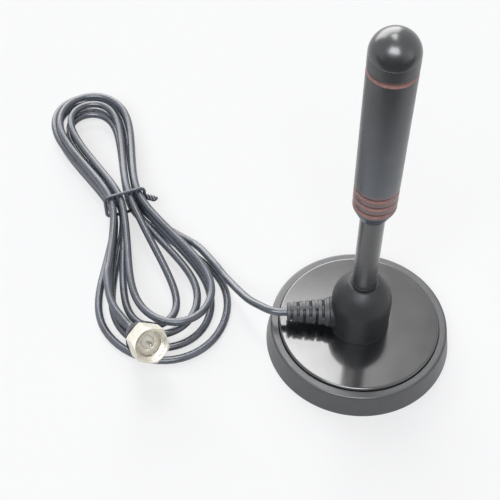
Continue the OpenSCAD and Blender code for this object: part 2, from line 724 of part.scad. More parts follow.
// Copper centre pin of the plug
module plug_pin() {
    color("#c98347") at_plug() translate([0, 0, barrel_len])
        cylinder(h = nut_front - pin_short - barrel_len, r = pin_r);
}

// Hexagon nut that turns on the plug's neck
module plug_nut() {
    corner_r = nut_af / 2 / cos(30);
    bevel_h = (corner_r - nut_af / 2) * tan(nut_bevel);
    mouth = 0.4;
    color("#d2cdc0") at_plug() translate([0, 0, nut_z]) difference() {
        intersection() {
            cylinder(h = nut_len, r = corner_r, $fn = 6);
            rotate_extrude() polygon([[0, 0], [nut_af / 2, 0], [corner_r, bevel_h],
                [corner_r, nut_len - bevel_h], [nut_af / 2, nut_len], [0, nut_len]]);
        }
        translate([0, 0, -1]) cylinder(h = nut_len, r = neck_r + run_clear);
        translate([0, 0, lip_t]) cylinder(h = nut_len, r = nut_bore_r);
        translate([0, 0, nut_len - mouth])
            cylinder(h = mouth, r1 = nut_bore_r, r2 = nut_bore_r + mouth);
    }
}

rubber_boot();
base_cover();
ring_magnet();
floor_pad();
base_screws();
screw_washers();
ground_ring();
hub_body();
hub_bush();
strain_relief();
cable_entry();
feed_wire();
braid_pigtail();
seal_ring();
stem();
stem_stud();
feed_rod();
rod_shell();
rod_cap();
low_groove_bands();
top_groove_band();
coil_former();
loading_coil();
cable_lead();
cable_hank();
cable_tail();
wire_tie();
plug_sleeve();
plug_body();
plug_gasket();
plug_insulator();
plug_pin();
plug_nut();
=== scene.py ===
"""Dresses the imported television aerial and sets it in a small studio.

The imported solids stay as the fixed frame. Each class stands for one sub-assembly: its fields are that
sub-assembly's sizes in millimetres, and its methods turn, sweep and join the visible pieces and dress them.
"""

import logging
import math
from collections.abc import Iterable, Iterator, Sequence
from dataclasses import dataclass, field
from enum import Enum

import bmesh
import bpy
from mathutils import Matrix, Vector


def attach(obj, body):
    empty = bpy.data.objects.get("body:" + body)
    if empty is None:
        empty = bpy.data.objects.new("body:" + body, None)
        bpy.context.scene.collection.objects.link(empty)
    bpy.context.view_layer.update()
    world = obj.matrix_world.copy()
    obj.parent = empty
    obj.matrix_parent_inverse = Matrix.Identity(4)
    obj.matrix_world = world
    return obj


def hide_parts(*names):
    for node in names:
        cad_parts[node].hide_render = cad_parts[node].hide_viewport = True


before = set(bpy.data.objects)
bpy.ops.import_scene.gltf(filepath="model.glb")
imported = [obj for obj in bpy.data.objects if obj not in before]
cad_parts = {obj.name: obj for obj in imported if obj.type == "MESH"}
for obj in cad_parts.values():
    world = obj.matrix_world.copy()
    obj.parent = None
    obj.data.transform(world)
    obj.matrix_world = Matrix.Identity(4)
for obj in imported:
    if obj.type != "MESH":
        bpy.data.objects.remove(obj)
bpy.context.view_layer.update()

LOG = logging.getLogger("aerial")
MM = 0.001
WELD = 1e-7
EASE_STEPS = 4

Tree = bpy.types.NodeTree
Socket = bpy.types.NodeSocket
Shape = bmesh.types.BMesh
Piece = bpy.types.Object
# One corner of a turning profile: its distance from the axis, its height and its easing.
Corner = tuple[float, float, float]
Colour = tuple[float, float, float, float]

# Parts of a noise pattern's range, from where something starts to show to where it shows in full.
WEAR_RANGE = (0.34, 0.68)
DULL_RANGE = (0.3, 0.7)
DUST_RANGE = (0.6, 0.78)
# How far a face looks up, from where it has the full painted shade of a lower flank to where it has none of
# it.
FLANK_RANGE = (-0.2, 0.3)
# The share of a belt's fade that the patches move its edges by.
EDGE_SHIFT = 1 / 3
DUST_SPECK = 0.5
DUST_COLOUR = "#c9c7c2"
DRAWN_STRETCH = 0.04


def linear(hex_colour: str) -> Colour:
    """Turns an sRGB hex colour into the linear colour that a shader takes.

    Args:
        hex_colour: Six hex digits after a hash sign.

    Returns:
        Red, green, blue and an alpha of one.
    """
    parts = [int(hex_colour[i:i + 2], 16) / 255 for i in (1, 3, 5)]
    red, green, blue = (p / 12.92 if p <= 0.04045 else ((p + 0.055) / 1.055) ** 2.4 for p in parts)
    return red, green, blue, 1.0


def per_mm(size: float) -> float:
    """Gives the texture scale at which one pattern cell is size millimetres wide."""
    return 1 / (size * MM)


def add_node(tree: Tree, kind: str, inputs: dict[str | int, object] | None = None,
             **settings: object) -> bpy.types.Node:
    """Adds one node with its settings, values and links.

    Args:
        tree: The node tree to add to.
        kind: Blender's type name of the node.
        inputs: Values or sockets for the node's inputs, by name or place.
        **settings: Properties of the node itself.

    Returns:
        The new node.
    """
    node = tree.nodes.new(kind)
    for name, value in settings.items():
        setattr(node, name, value)
    for name, value in (inputs or {}).items():
        if isinstance(value, Socket):
            tree.links.new(value, node.inputs[name])
        else:
            node.inputs[name].default_value = value
    return node


class Mark(Enum):
    """The marks that making leaves on a surface."""

    MOULDED = "pebble of the mould"
    TURNED = "rings left by the lathe"
    DRAWN = "streaks along an upright tube"
    FLOWED = "slow waves of a coat that flowed out"


@dataclass(frozen=True)
class Belt:
    """A belt round an upright surface in another colour, for a mark of making and for painted light alike.
    Sizes are in millimetres.
    """

    colour: str
    low: float
    high: float
    fade: float


@dataclass(frozen=True)
class Finish:
    """One surface: its colours, the marks of its making and its gloss.

    Sizes are in millimetres. Roughness is given as the smoothest and the dullest value that the patches take.
    The under colour, where there is one, is painted shade on the faces that look down.
    """

    name: str
    colour: str
    worn: str
    roughness: tuple[float, float]
    mark: Mark = Mark.MOULDED
    patch: float = 4.0
    grain: float = 0.3
    depth: float = 0.01
    metallic: float = 0.0
    specular: float = 0.5
    coat: float = 0.0
    coat_roughness: float = 0.03
    coat_ior: float = 1.5
    dust: float = 0.0
    under: str = ""
    belts: tuple[Belt, ...] = ()

    def material(self) -> bpy.types.Material:
        """Builds the finish's material, once.

        Returns:
            The material, the same one each time.
        """
        found = bpy.data.materials.get(self.name)
        if found:
            return found
        material = bpy.data.materials.new(self.name)
        material.use_nodes = True
        tree = material.node_tree
        tree.nodes.clear()
        where = add_node(tree, "ShaderNodeTexCoord").outputs["Object"]
        patch = add_node(tree, "ShaderNodeTexNoise", {
            "Vector": where, "Scale": per_mm(self.patch), "Detail": 4.0, "Roughness": 0.6}).outputs[0]
        worn = add_node(tree, "ShaderNodeMapRange", {
            "Value": patch, "From Min": WEAR_RANGE[0], "From Max": WEAR_RANGE[1]},
            interpolation_type="SMOOTHSTEP").outputs[0]
        colour = add_node(tree, "ShaderNodeMix", {
            0: worn, 6: linear(self.colour), 7: linear(self.worn)}, data_type="RGBA").outputs[2]
        dull = add_node(tree, "ShaderNodeMapRange", {
            "Value": patch, "From Min": DULL_RANGE[0], "From Max": DULL_RANGE[1],
            "To Min": self.roughness[0], "To Max": self.roughness[1]}).outputs[0]
        if self.under:
            # Painted shade on the faces that look down.
            colour = self.shaded(tree, colour)
        if self.belts:
            colour = self.belted(tree, where, patch, colour)
        if self.dust:
            colour = self.dusted(tree, where, colour)
        bump = add_node(tree, "ShaderNodeBump", {
            "Height": self.marks(tree, where), "Distance": self.depth * MM, "Strength": 1.0})
        shader = add_node(tree, "ShaderNodeBsdfPrincipled", {
            "Base Color": colour, "Roughness": dull, "Normal": bump.outputs[0], "Metallic": self.metallic,
            "Specular IOR Level": self.specular, "Coat Weight": self.coat,
            "Coat Roughness": self.coat_roughness, "Coat IOR": self.coat_ior})
        add_node(tree, "ShaderNodeOutputMaterial", {"Surface": shader.outputs[0]})
        return material

    def shaded(self, tree: Tree, colour: Socket) -> Socket:
        """Mixes in painted shade: a darker colour on the faces that look down.

        Args:
            tree: The material's tree.
            colour: The colour of the faces that look up.

        Returns:
            The mixed colour.
        """
        normal = add_node(tree, "ShaderNodeNewGeometry").outputs["Normal"]
        upward = add_node(tree, "ShaderNodeSeparateXYZ", {0: normal}).outputs["Z"]
        share = add_node(tree, "ShaderNodeMapRange", {
            "Value": upward, "From Min": FLANK_RANGE[0], "From Max": FLANK_RANGE[1]},
            interpolation_type="SMOOTHSTEP").outputs[0]
        return add_node(tree, "ShaderNodeMix", {
            0: share, 6: linear(self.under), 7: colour}, data_type="RGBA").outputs[2]

    def belted(self, tree: Tree, where: Socket, patch: Socket, colour: Socket) -> Socket:
        """Lays the coloured belts over a colour, with uneven edges.

        Args:
            tree: The material's tree.
            where: The coordinates that give the height.
            patch: The finish's patches, which break up the belts' edges.
            colour: The colour between the belts.

        Returns:
            The mixed colour.
        """
        height = add_node(tree, "ShaderNodeSeparateXYZ", {0: where}).outputs["Z"]
        for belt in self.belts:
            middle, half = (belt.low + belt.high) / 2, (belt.high - belt.low) / 2
            shift = belt.fade * EDGE_SHIFT
            uneven = add_node(tree, "ShaderNodeMath", {
                0: patch, 1: shift * MM, 2: height}, operation="MULTIPLY_ADD").outputs[0]
            offset = add_node(tree, "ShaderNodeMath", {
                0: uneven, 1: (middle + shift / 2) * MM}, operation="SUBTRACT").outputs[0]
            away = add_node(tree, "ShaderNodeMath", {0: offset}, operation="ABSOLUTE").outputs[0]
            share = add_node(tree, "ShaderNodeMapRange", {
                "Value": away, "From Min": (half + belt.fade) * MM, "From Max": half * MM}).outputs[0]
            colour = add_node(tree, "ShaderNodeMix", {
                0: share, 6: colour, 7: linear(belt.colour)}, data_type="RGBA").outputs[2]
        return colour

    def dusted(self, tree: Tree, where: Socket, colour: Socket) -> Socket:
        """Lays specks of pale dust over a colour.

        Args:
            tree: The material's tree.
            where: The coordinates that the pattern reads.
            colour: The colour under the dust.

        Returns:
            The dusted colour.
        """
        specks = add_node(tree, "ShaderNodeTexNoise", {
            "Vector": where, "Scale": per_mm(DUST_SPECK), "Detail": 2.0, "Roughness": 0.7}).outputs[0]
        amount = add_node(tree, "ShaderNodeMapRange", {
            "Value": specks, "From Min": DUST_RANGE[0], "From Max": DUST_RANGE[1],
            "To Max": self.dust}).outputs[0]
        return add_node(tree, "ShaderNodeMix", {
            0: amount, 6: colour, 7: linear(DUST_COLOUR)}, data_type="RGBA").outputs[2]

    def marks(self, tree: Tree, where: Socket) -> Socket:
        """Makes the height pattern of the finish's mark.

        Args:
            tree: The material's tree.
            where: The coordinates that the pattern reads.

        Returns:
            The height, from about zero to one.
        """
        if self.mark is Mark.TURNED:
            # A band texture runs through one band in 2 pi / 20 of its scaled length.
            return add_node(tree, "ShaderNodeTexWave", {
                "Vector": where, "Scale": math.tau / 20 * per_mm(self.grain), "Distortion": 0.15,
                "Detail": 2.0, "Detail Scale": 0.6}, bands_direction="Z").outputs[1]
        if self.mark is Mark.DRAWN:
            where = add_node(tree, "ShaderNodeMapping", {
                "Vector": where, "Scale": (1.0, 1.0, DRAWN_STRETCH)}).outputs[0]
        detail = 0.0 if self.mark is Mark.FLOWED else 3.0
        return add_node(tree, "ShaderNodeTexNoise", {
            "Vector": where, "Scale": per_mm(self.grain), "Detail": detail}).outputs[0]


# Tool rings, streaks and mould grain are finer on a real one. They are drawn as coarse as they need to show.

# Moulded nitrile rubber: black under a satin skin that takes up the white of the floor, with a fine pebble.
BOOT_RUBBER = Finish("moulded_nitrile_rubber", "#28292c", "#333437", (0.34, 0.44), patch=6, grain=0.35,
                     depth=0.008, specular=1.0, dust=0.1)
# Gloss black lacquer on pressed steel: a clear mirror of the room, a trace of orange peel, a little dust.
COVER_LACQUER = Finish("gloss_black_lacquer", "#0c0d0f", "#131417", (0.16, 0.26), Mark.FLOWED, patch=9,
                       grain=5, depth=0.003, specular=0.7, coat=1.0, coat_roughness=0.1, coat_ior=1.62,
                       dust=0.06)
# Moulded soft vinyl: deep black, matt, with a fine spark-eroded grain.
HUB_VINYL = Finish("moulded_black_vinyl", "#121316", "#191a1d", (0.42, 0.56), patch=3, grain=0.22, depth=0.01,
                   specular=0.6, dust=0.06)
# Moulded outlet vinyl: the hub's vinyl painted a little paler as painted light, so the ribs look lit along
# their tops.
OUTLET_VINYL = Finish("moulded_outlet_vinyl", "#26272a", "#33353a", (0.46, 0.58), patch=2, grain=0.22,
                      depth=0.01, specular=0.9, dust=0.06)
# Moulded seal rubber: plain and dark, slightly shiny where the stem presses it.
SEAL_RUBBER = Finish("moulded_seal_rubber", "#18181a", "#232325", (0.4, 0.6), patch=1.5, grain=0.2,
                     depth=0.008)
# Black anodised drawn tube: satin grey-black with faint streaks along its length.
STEM_ANODISED = Finish("black_anodised_tube", "#1a1b1d", "#232427", (0.26, 0.36), Mark.DRAWN, patch=5,
                       grain=0.18, depth=0.003, specular=1.0, coat=0.5, coat_roughness=0.2)
# Baked satin enamel on turned aluminium: black with faint rings of the lathe, with painted light that turns
# it grey towards the lower end, and a film of red left between the lower grooves.
ROD_ENAMEL = Finish("satin_baked_enamel", "#0e1014", "#171a20", (0.26, 0.36), Mark.TURNED, patch=7, grain=0.6,
                    depth=0.0015, specular=1.0, dust=0.05,
                    # The first belt is painted light, lighter grey towards the lower end. The second is the
                    # red film.
                    belts=(Belt("#434a53", 20, 68, 46), Belt("#5f4a4c", 69, 77, 1.4)))
# Gloss moulded ABS: near black under a clear skin, which gives the lamps back as soft bright patches.
CAP_ABS = Finish("gloss_moulded_abs", "#080a10", "#0e1118", (0.26, 0.32), Mark.FLOWED, patch=3, grain=3,
                 depth=0.002, specular=1.0, coat=0.35, coat_roughness=0.15, dust=0.03)
# Red enamel wiped into the turned grooves: thin and uneven, with painted shade that darkens the flank that
# looks down.
GROOVE_RED = Finish("wiped_red_enamel", "#8b645d", "#99766f", (0.3, 0.45), Mark.TURNED, patch=1.2, grain=0.3,
                    # under is painted shade: the dark red of the flank that looks down.
                    depth=0.004, under="#55302b")
# Extruded vinyl jacket: blue-grey black, satin, with a slight ripple from the die and handling dust.
CABLE_VINYL = Finish("extruded_vinyl_jacket", "#383d46", "#464c58", (0.22, 0.34), patch=8, grain=1.2,
                     depth=0.005, specular=1.0, dust=0.06)
# Vinyl-coated tie wire: the cable's blue-grey black, a little duller.
TIE_VINYL = Finish("vinyl_coated_wire", "#3a3f48", "#474d58", (0.25, 0.38), patch=2, grain=0.5, depth=0.01,
                   specular=0.9)
# Moulded plug sleeve: darker than the cable's vinyl, with the pebble of its mould.
SLEEVE_VINYL = Finish("moulded_plug_vinyl", "#2b2d32", "#393b41", (0.3, 0.42), patch=2, grain=0.25,
                      depth=0.01, specular=1.0)
# Nickel-plated turned brass: warm pale metal, satin, with rings from the tool.
NICKEL = Finish("nickel_plated_brass", "#e6e2d7", "#d4cfc3", (0.38, 0.52), Mark.TURNED, patch=1.5, grain=0.35,
                depth=0.002, metallic=1.0)
# Nickel plate over a blasted casting: the same pale metal without a mirror, so the plug's inside stays light.
MATT_NICKEL = Finish("blasted_nickel_plate", "#dcd8cd", "#cbc6b9", (0.56, 0.7), patch=1, grain=0.15,
                     depth=0.006, metallic=1.0)
# Turned brass, hidden in the hub and the stem: yellow and bright, a little tarnished.
BRASS = Finish("turned_brass", "#b9923f", "#8f6f30", (0.2, 0.38), Mark.TURNED, patch=2, grain=0.3,
               depth=0.004, metallic=1.0)
# Drawn copper: warm and soft, dulled in patches.
COPPER = Finish("drawn_copper", "#c98347", "#9a5c33", (0.22, 0.42), Mark.DRAWN, patch=1, grain=0.1,
                depth=0.003, metallic=1.0)
# Tinned copper: grey-white metal, uneven where the solder ran.
TINNED = Finish("tinned_copper", "#b9b6ac", "#918d82", (0.3, 0.5), patch=0.8, grain=0.3, depth=0.015,
                metallic=1.0)
# Zinc-plated steel: cool grey metal with a faint blue passivation.
ZINC = Finish("zinc_plated_steel", "#b4b9bf", "#9aa3ad", (0.28, 0.42), patch=1.2, grain=0.2, depth=0.004,
              metallic=1.0)
# Sintered ferrite: charcoal grey and matt, with fine pits.
FERRITE = Finish("sintered_ferrite", "#3f4042", "#515254", (0.55, 0.75), patch=2, grain=0.15, depth=0.03)
# Closed-cell foam pad: black, quite matt, with small cells.
FOAM = Finish("closed_cell_foam", "#1a1b1c", "#242526", (0.8, 0.95), patch=3, grain=0.4, depth=0.08,
              specular=0.2)
# Natural nylon: milky white, slightly waxy.
NYLON = Finish("natural_nylon", "#e2ded2", "#d2cdbd", (0.35, 0.5), patch=2, grain=0.3, depth=0.005)


def arc(centre: tuple[float, float], radius: float, start: float, end: float, steps: int) -> list[Corner]:
    """Gives the points of a round part of a turning profile.

    Args:
        centre: Distance from the axis and height of the arc's centre.
        radius: Radius of the arc.
        start: Angle of the first point in degrees, from straight outwards.
        end: Angle of the last point in degrees.
        steps: Number of straight steps along the arc.

    Returns:
        Profile corners with no easing of their own.
    """
    angles = [math.radians(start + (end - start) * i / steps) for i in range(steps + 1)]
    return [(centre[0] + radius * math.cos(a), centre[1] + radius * math.sin(a), 0.0) for a in angles]


def turned(profile: Sequence[Corner], steps: int = 128, closed: bool = True,
           sweep: float = math.tau) -> Shape:
    """Turns a profile about the upright axis, with its corners eased.

    Args:
        profile: Distance from the axis, height and easing of each corner.
        steps: Number of steps round the axis.
        closed: Whether the last corner joins the first. A profile that ends on the axis stays open.
        sweep: Angle that the profile is turned through.

    Returns:
        A new bmesh in millimetres.
    """
    bm = bmesh.new()
    verts = [bm.verts.new((out, 0.0, up)) for out, up, _ in profile]
    for first, second in zip(verts, verts[1:] + verts[:1] if closed else verts[1:]):
        bm.edges.new((first, second))
    for vert, (_, _, ease) in zip(verts, profile):
        if ease:
            bmesh.ops.bevel(bm, geom=[vert], offset=ease, offset_type="OFFSET", segments=EASE_STEPS,
                            profile=0.5, affect="VERTICES", material=-1)
    bmesh.ops.spin(bm, geom=bm.verts[:] + bm.edges[:], cent=(0, 0, 0), axis=(0, 0, 1), dvec=(0, 0, 0),
                   angle=sweep, steps=steps, use_merge=sweep == math.tau)
    bmesh.ops.remove_doubles(bm, verts=bm.verts, dist=WELD / MM)
    bmesh.ops.holes_fill(bm, edges=[e for e in bm.edges if e.is_boundary])
    bmesh.ops.recalc_face_normals(bm, faces=bm.faces)
    return bm


class Cut(Enum):
    """How one closed shape works on another."""

    JOIN = "UNION"
    CARVE = "DIFFERENCE"
    TRIM = "INTERSECT"


def combined(work: Shape, tool: Shape, cut: Cut) -> Shape:
    """Joins, carves or trims one closed shape with another.

    Args:
        work: The shape that is worked on. It is used up.
        tool: The shape that works on it. It is used up.
        cut: What the tool does.

    Returns:
        The new shape.
    """
    blanks = []
    for shape in (work, tool):
        mesh = bpy.data.meshes.new("blank")
        shape.to_mesh(mesh)
        shape.free()
        blanks.append(bpy.data.objects.new("blank", mesh))
        bpy.context.scene.collection.objects.link(blanks[-1])
    cutter = blanks[0].modifiers.new("cut", "BOOLEAN")
    cutter.operation = cut.value
    cutter.solver = "EXACT"
    cutter.object = blanks[1]
    result = bmesh.new()
    result.from_object(blanks[0], bpy.context.evaluated_depsgraph_get())
    for blank in blanks:
        mesh = blank.data
        bpy.data.objects.remove(blank)
        bpy.data.meshes.remove(mesh)
    return result


def settle(piece: Piece, body: str, slot: str, nodes: Iterable[str]) -> Piece:
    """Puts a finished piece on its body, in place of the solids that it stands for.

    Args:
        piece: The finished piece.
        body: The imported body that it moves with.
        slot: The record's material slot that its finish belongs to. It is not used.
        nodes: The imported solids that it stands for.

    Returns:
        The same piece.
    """
    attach(piece, body)
    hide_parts(*nodes)
    LOG.info("%s rides on %s", piece.name, body)
    return piece


def piece_from(bm: Shape, name: str, finish: Finish, place: Matrix | None = None,
               crease: float = 42.0) -> Piece:
    """Makes a finished object of a shape in millimetres.

    Args:
        bm: The shape. It is used up.
        name: Name of the piece.
        finish: Its surface.
        place: Where it goes, if not where it was made.
        crease: Angle in degrees above which an edge stays sharp.

    Returns:
        The object, at the origin, with its place in its mesh.
    """
    if place is not None:
        bmesh.ops.transform(bm, matrix=place, verts=bm.verts)
    bmesh.ops.scale(bm, vec=(MM, MM, MM), verts=bm.verts)
    bmesh.ops.remove_doubles(bm, verts=bm.verts, dist=WELD)
    bmesh.ops.dissolve_degenerate(bm, dist=WELD, edges=bm.edges)
    bmesh.ops.recalc_face_normals(bm, faces=bm.faces)
    mesh = bpy.data.meshes.new(name)
    bm.to_mesh(mesh)
    bm.free()
    mesh.shade_smooth()
    mesh.set_sharp_from_angle(angle=math.radians(crease))
    mesh.materials.append(finish.material())
    piece = bpy.data.objects.new(name, mesh)
    bpy.context.scene.collection.objects.link(piece)
    # Keeps flat faces flat to the light, so that only the easings beside them look round.
    piece.modifiers.new("weighted_normals", "WEIGHTED_NORMAL").keep_sharp = True
    return piece


def wire(name: str, runs: Iterable[tuple[Sequence[Vector], bool]], radius: float, rounds: int,
         finish: Finish) -> Piece:
    """Draws round wire along lines.

    Args:
        name: Name of the piece.
        runs: Each line's points in millimetres, and whether it closes on itself.
        radius: Radius of the wire in millimetres.
        rounds: How finely the wire is rounded.
        finish: Its surface.

    Returns:
        The object, at the origin.
    """
    curve = bpy.data.curves.new(name, "CURVE")
    curve.dimensions = "3D"
    curve.bevel_depth = radius * MM
    curve.bevel_resolution = rounds
    curve.use_fill_caps = True
    for points, closed in runs:
        spline = curve.splines.new("POLY")
        spline.points.add(len(points) - 1)
        for point, place in zip(spline.points, points):
            point.co = (*place * MM, 1.0)
        spline.use_cyclic_u = closed
        spline.use_smooth = True
    curve.materials.append(finish.material())
    piece = bpy.data.objects.new(name, curve)
    bpy.context.scene.collection.objects.link(piece)
    return piece


def dress(finish: Finish, *nodes: str) -> None:
    """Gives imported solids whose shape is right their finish.

    Args:
        finish: The surface that they get.
        *nodes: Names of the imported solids.
    """
    for name in nodes:
        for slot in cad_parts[name].material_slots:
            slot.material = finish.material()
        LOG.info("%s is dressed", name)


@dataclass
class MagnetBase:
    """The weighted foot: rubber boot, lacquered cover and what is under it."""

    boot_r: float = 30.0
    boot_top_r: float = 28.6
    boot_inner_r: float = 26.06
    boot_lift: float = 0.2
    boot_top: float = 8.9
    boot_round: float = 0.7
    boot_foot_ease: float = 0.25
    groove_lip: float = 0.18
    groove_ease: float = 0.08
    cover_r: float = 26.0
    cover_wall: float = 1.5
    cover_foot: float = 1.2
    cover_under: float = 8.4
    cover_top: float = 10.0
    cover_round: float = 0.8
    cover_inner_ease: float = 0.3
    cover_foot_ease: float = 0.2
    chamber_r: float = 2.6
    around: int = 192

    def build(self) -> None:
        """Makes the boot and the cover, and dresses the solids that they hide."""
        boot = turned([
            (self.boot_inner_r, self.boot_lift, 0), (self.boot_r, self.boot_lift, self.boot_foot_ease),
            (self.boot_top_r, self.boot_top, self.boot_round),
            (self.boot_inner_r + self.groove_lip, self.boot_top, self.groove_ease),
            (self.boot_inner_r, self.boot_top - self.groove_lip, self.groove_ease)], self.around)
        settle(piece_from(boot, "boot", BOOT_RUBBER), "base", "boot_rubber", ["rubber_boot"])
        inside = self.cover_r - self.cover_wall
        cover = turned([
            (self.chamber_r, self.cover_under, 0), (inside, self.cover_under, self.cover_inner_ease),
            (inside, self.cover_foot, self.cover_foot_ease),
            (self.cover_r, self.cover_foot, self.cover_foot_ease),
            (self.cover_r, self.cover_top, self.cover_round),
            (self.chamber_r, self.cover_top, 0)], self.around)
        settle(piece_from(cover, "cover", COVER_LACQUER), "base", "black_lacquer", ["base_cover"])
        dress(FERRITE, "ring_magnet")
        dress(FOAM, "floor_pad")
        dress(ZINC, "base_screws", "screw_washers")
        dress(TINNED, "ground_ring", "braid_pigtail")


@dataclass
class Hub:
    """The moulded hub with its side boss, and the metal inside it."""

    wall_r: float = 9.5
    foot_r: float = 9.7
    foot_h: float = 0.6
    foot_ease: float = 0.1
    wall_ease: float = 0.2
    bottom: float = 10.0
    shoulder: float = 21.6
    top: float = 31.0
    collar_r: float = 4.7
    collar_ease: float = 0.35
    chamber_r: float = 2.6
    bush_r: float = 3.32
    bush_len: float = 9.4
    boss_r: float = 5.0
    boss_face: float = 10.0
    boss_root: float = 6.0
    boss_z: float = 14.9
    boss_lift: float = 0.02
    boss_ease: float = 0.3
    boss_around: int = 96
    dome_steps: int = 14

    def build(self) -> None:
        """Makes the hub and dresses the solids inside it."""
        inward, rise = self.wall_r - self.collar_r, self.top - self.shoulder
        radius = (inward ** 2 + rise ** 2) / (2 * inward)
        sweep = math.degrees(math.asin(rise / radius))
        dome = arc((self.wall_r - radius, self.shoulder), radius, 0, sweep, self.dome_steps)
        dome[-1] = (self.collar_r, self.top, self.collar_ease)
        bush_foot = self.top - self.bush_len
        hub = turned([
            (self.chamber_r, self.bottom, 0), (self.foot_r, self.bottom, self.foot_ease),
            (self.wall_r, self.bottom + self.foot_h, self.wall_ease),
            *dome, (self.bush_r, self.top, 0), (self.bush_r, bush_foot, 0), (self.chamber_r, bush_foot, 0)])
        boss = turned([
            (0, self.boss_root, 0), (self.boss_r, self.boss_root, 0),
            (self.boss_r, self.boss_face, self.boss_ease), (0, self.boss_face, 0)],
            self.boss_around, closed=False)
        bmesh.ops.transform(boss, matrix=outlet_place(self.boss_z), verts=boss.verts)
        floor = bmesh.ops.bisect_plane(boss, geom=boss.verts[:] + boss.edges[:] + boss.faces[:],
                                       plane_co=(0, 0, self.bottom + self.boss_lift), plane_no=(0, 0, -1),
                                       clear_outer=True)
        bmesh.ops.holes_fill(boss, edges=[e for e in floor["geom_cut"] if isinstance(e, bmesh.types.BMEdge)])
        hub = combined(hub, boss, Cut.JOIN)
        settle(piece_from(hub, "hub", HUB_VINYL), "base", "hub_vinyl", ["hub_body"])
        dress(BRASS, "hub_bush")
        dress(COPPER, "feed_wire")
        dress(CABLE_VINYL, "cable_entry")


def outlet_place(height: float) -> Matrix:
    """Gives the turn that lays an upright turning along the cable's way out, at that height."""
    return Matrix(((0, 0, -1, 0), (1, 0, 0, 0), (0, -1, 0, height), (0, 0, 0, 1)))


@dataclass
class CableOutlet:
    """The ribbed outlet, whose slots open by turns above and below and at the two sides."""

    axis_z: float = 14.9
    face: float = 10.0
    flange_r: float = 4.7
    flange_t: float = 1.0
    flange_ease: float = 0.25
    root_r: float = 4.4
    root_ease: float = 0.1
    end_r: float = 3.0
    end_ease: float = 0.3
    core_r: float = 2.0
    bore_r: float = 1.35
    bore_ease: float = 0.1
    slots: int = 6
    pitch: float = 2.0
    slot_w: float = 0.8
    bridge_w: float = 2.6
    tip: float = 0.5
    ease: float = 0.14
    bite: float = 0.06
    around: int = 96
    bridge_steps: int = 8

    def outside(self, at: float) -> float:
        """Gives the tapered outside radius at a distance from the hub's axis."""
        span = self.slots * self.pitch + self.tip
        return self.root_r + (self.end_r - self.root_r) * (at - self.face - self.flange_t) / span

    def build(self) -> None:
        """Makes the outlet as one turning with its bridges joined on."""
        root = self.face + self.flange_t
        middles = [root + (i + 0.5) * self.pitch for i in range(self.slots)]
        end = root + self.slots * self.pitch + self.tip
        profile = [(self.bore_r, self.face, 0), (self.flange_r, self.face, self.root_ease),
                   (self.flange_r, root, self.flange_ease), (self.outside(root), root, self.root_ease)]
        for middle in middles:
            low, high = middle - self.slot_w / 2, middle + self.slot_w / 2
            profile += [(self.outside(low), low, self.ease), (self.core_r, low, self.ease),
                        (self.core_r, high, self.ease), (self.outside(high), high, self.ease)]
        profile += [(self.outside(end), end, self.end_ease), (self.bore_r, end, self.bore_ease)]
        outlet = turned(profile, self.around)
        for index, middle in enumerate(middles):
            for side in (0, 180):
                outlet = combined(outlet, self.bridge(middle, side + 90 * (index % 2)), Cut.JOIN)
        piece = piece_from(outlet, "outlet", OUTLET_VINYL, outlet_place(self.axis_z))
        settle(piece, "base", "hub_vinyl", ["strain_relief"])

    def bridge(self, middle: float, angle: float) -> Shape:
        """Makes one bridge across a slot.

        Args:
            middle: Distance of the slot's middle from the hub's axis.
            angle: Direction of the bridge in degrees.

        Returns:
            A closed block that bites a little into the ribs on both sides.
        """
        low, high = middle - self.slot_w / 2 - self.bite, middle + self.slot_w / 2 + self.bite
        top = self.outside(high) - self.bite
        half = math.asin(self.bridge_w / 2 / top)
        block = turned([(self.core_r - self.bite, low, 0), (top, low, 0), (top, high, 0),
                        (self.core_r - self.bite, high, 0)], self.bridge_steps, sweep=2 * half)
        bmesh.ops.rotate(block, matrix=Matrix.Rotation(math.radians(angle) - half, 3, "Z"), verts=block.verts)
        return block


@dataclass
class Mast:
    """The seal, the slim stem and what is inside it."""

    seal_r: float = 4.0
    seal_bore: float = 2.55
    seal_foot: float = 31.0
    seal_foot_ease: float = 0.2
    seal_top_ease: float = 0.3
    stem_foot: float = 31.8
    stem_r: float = 3.7
    stem_top: float = 70.4
    stem_ease: float = 0.2
    stud_r: float = 2.52
    stud_top: float = 39.82
    feed_r: float = 1.02

    def build(self) -> None:
        """Makes the seal and the stem, and dresses the stud and the feed rod."""
        seal = turned([
            (self.seal_bore, self.seal_foot, 0), (self.seal_r, self.seal_foot, self.seal_foot_ease),
            (self.seal_r, self.stem_foot, self.seal_top_ease), (self.seal_bore, self.stem_foot, 0)])
        settle(piece_from(seal, "seal", SEAL_RUBBER), "seal_ring", "seal_rubber", ["seal_ring"])
        stem = turned([
            (self.stud_r, self.stem_foot, 0), (self.stem_r, self.stem_foot, self.stem_ease),
            (self.stem_r, self.stem_top, self.stem_ease), (self.feed_r, self.stem_top, 0),
            (self.feed_r, self.stud_top, 0), (self.stud_r, self.stud_top, 0)])
        settle(piece_from(stem, "stem_tube", STEM_ANODISED), "mast", "stem_black", ["stem"])
        dress(BRASS, "stem_stud", "feed_rod")


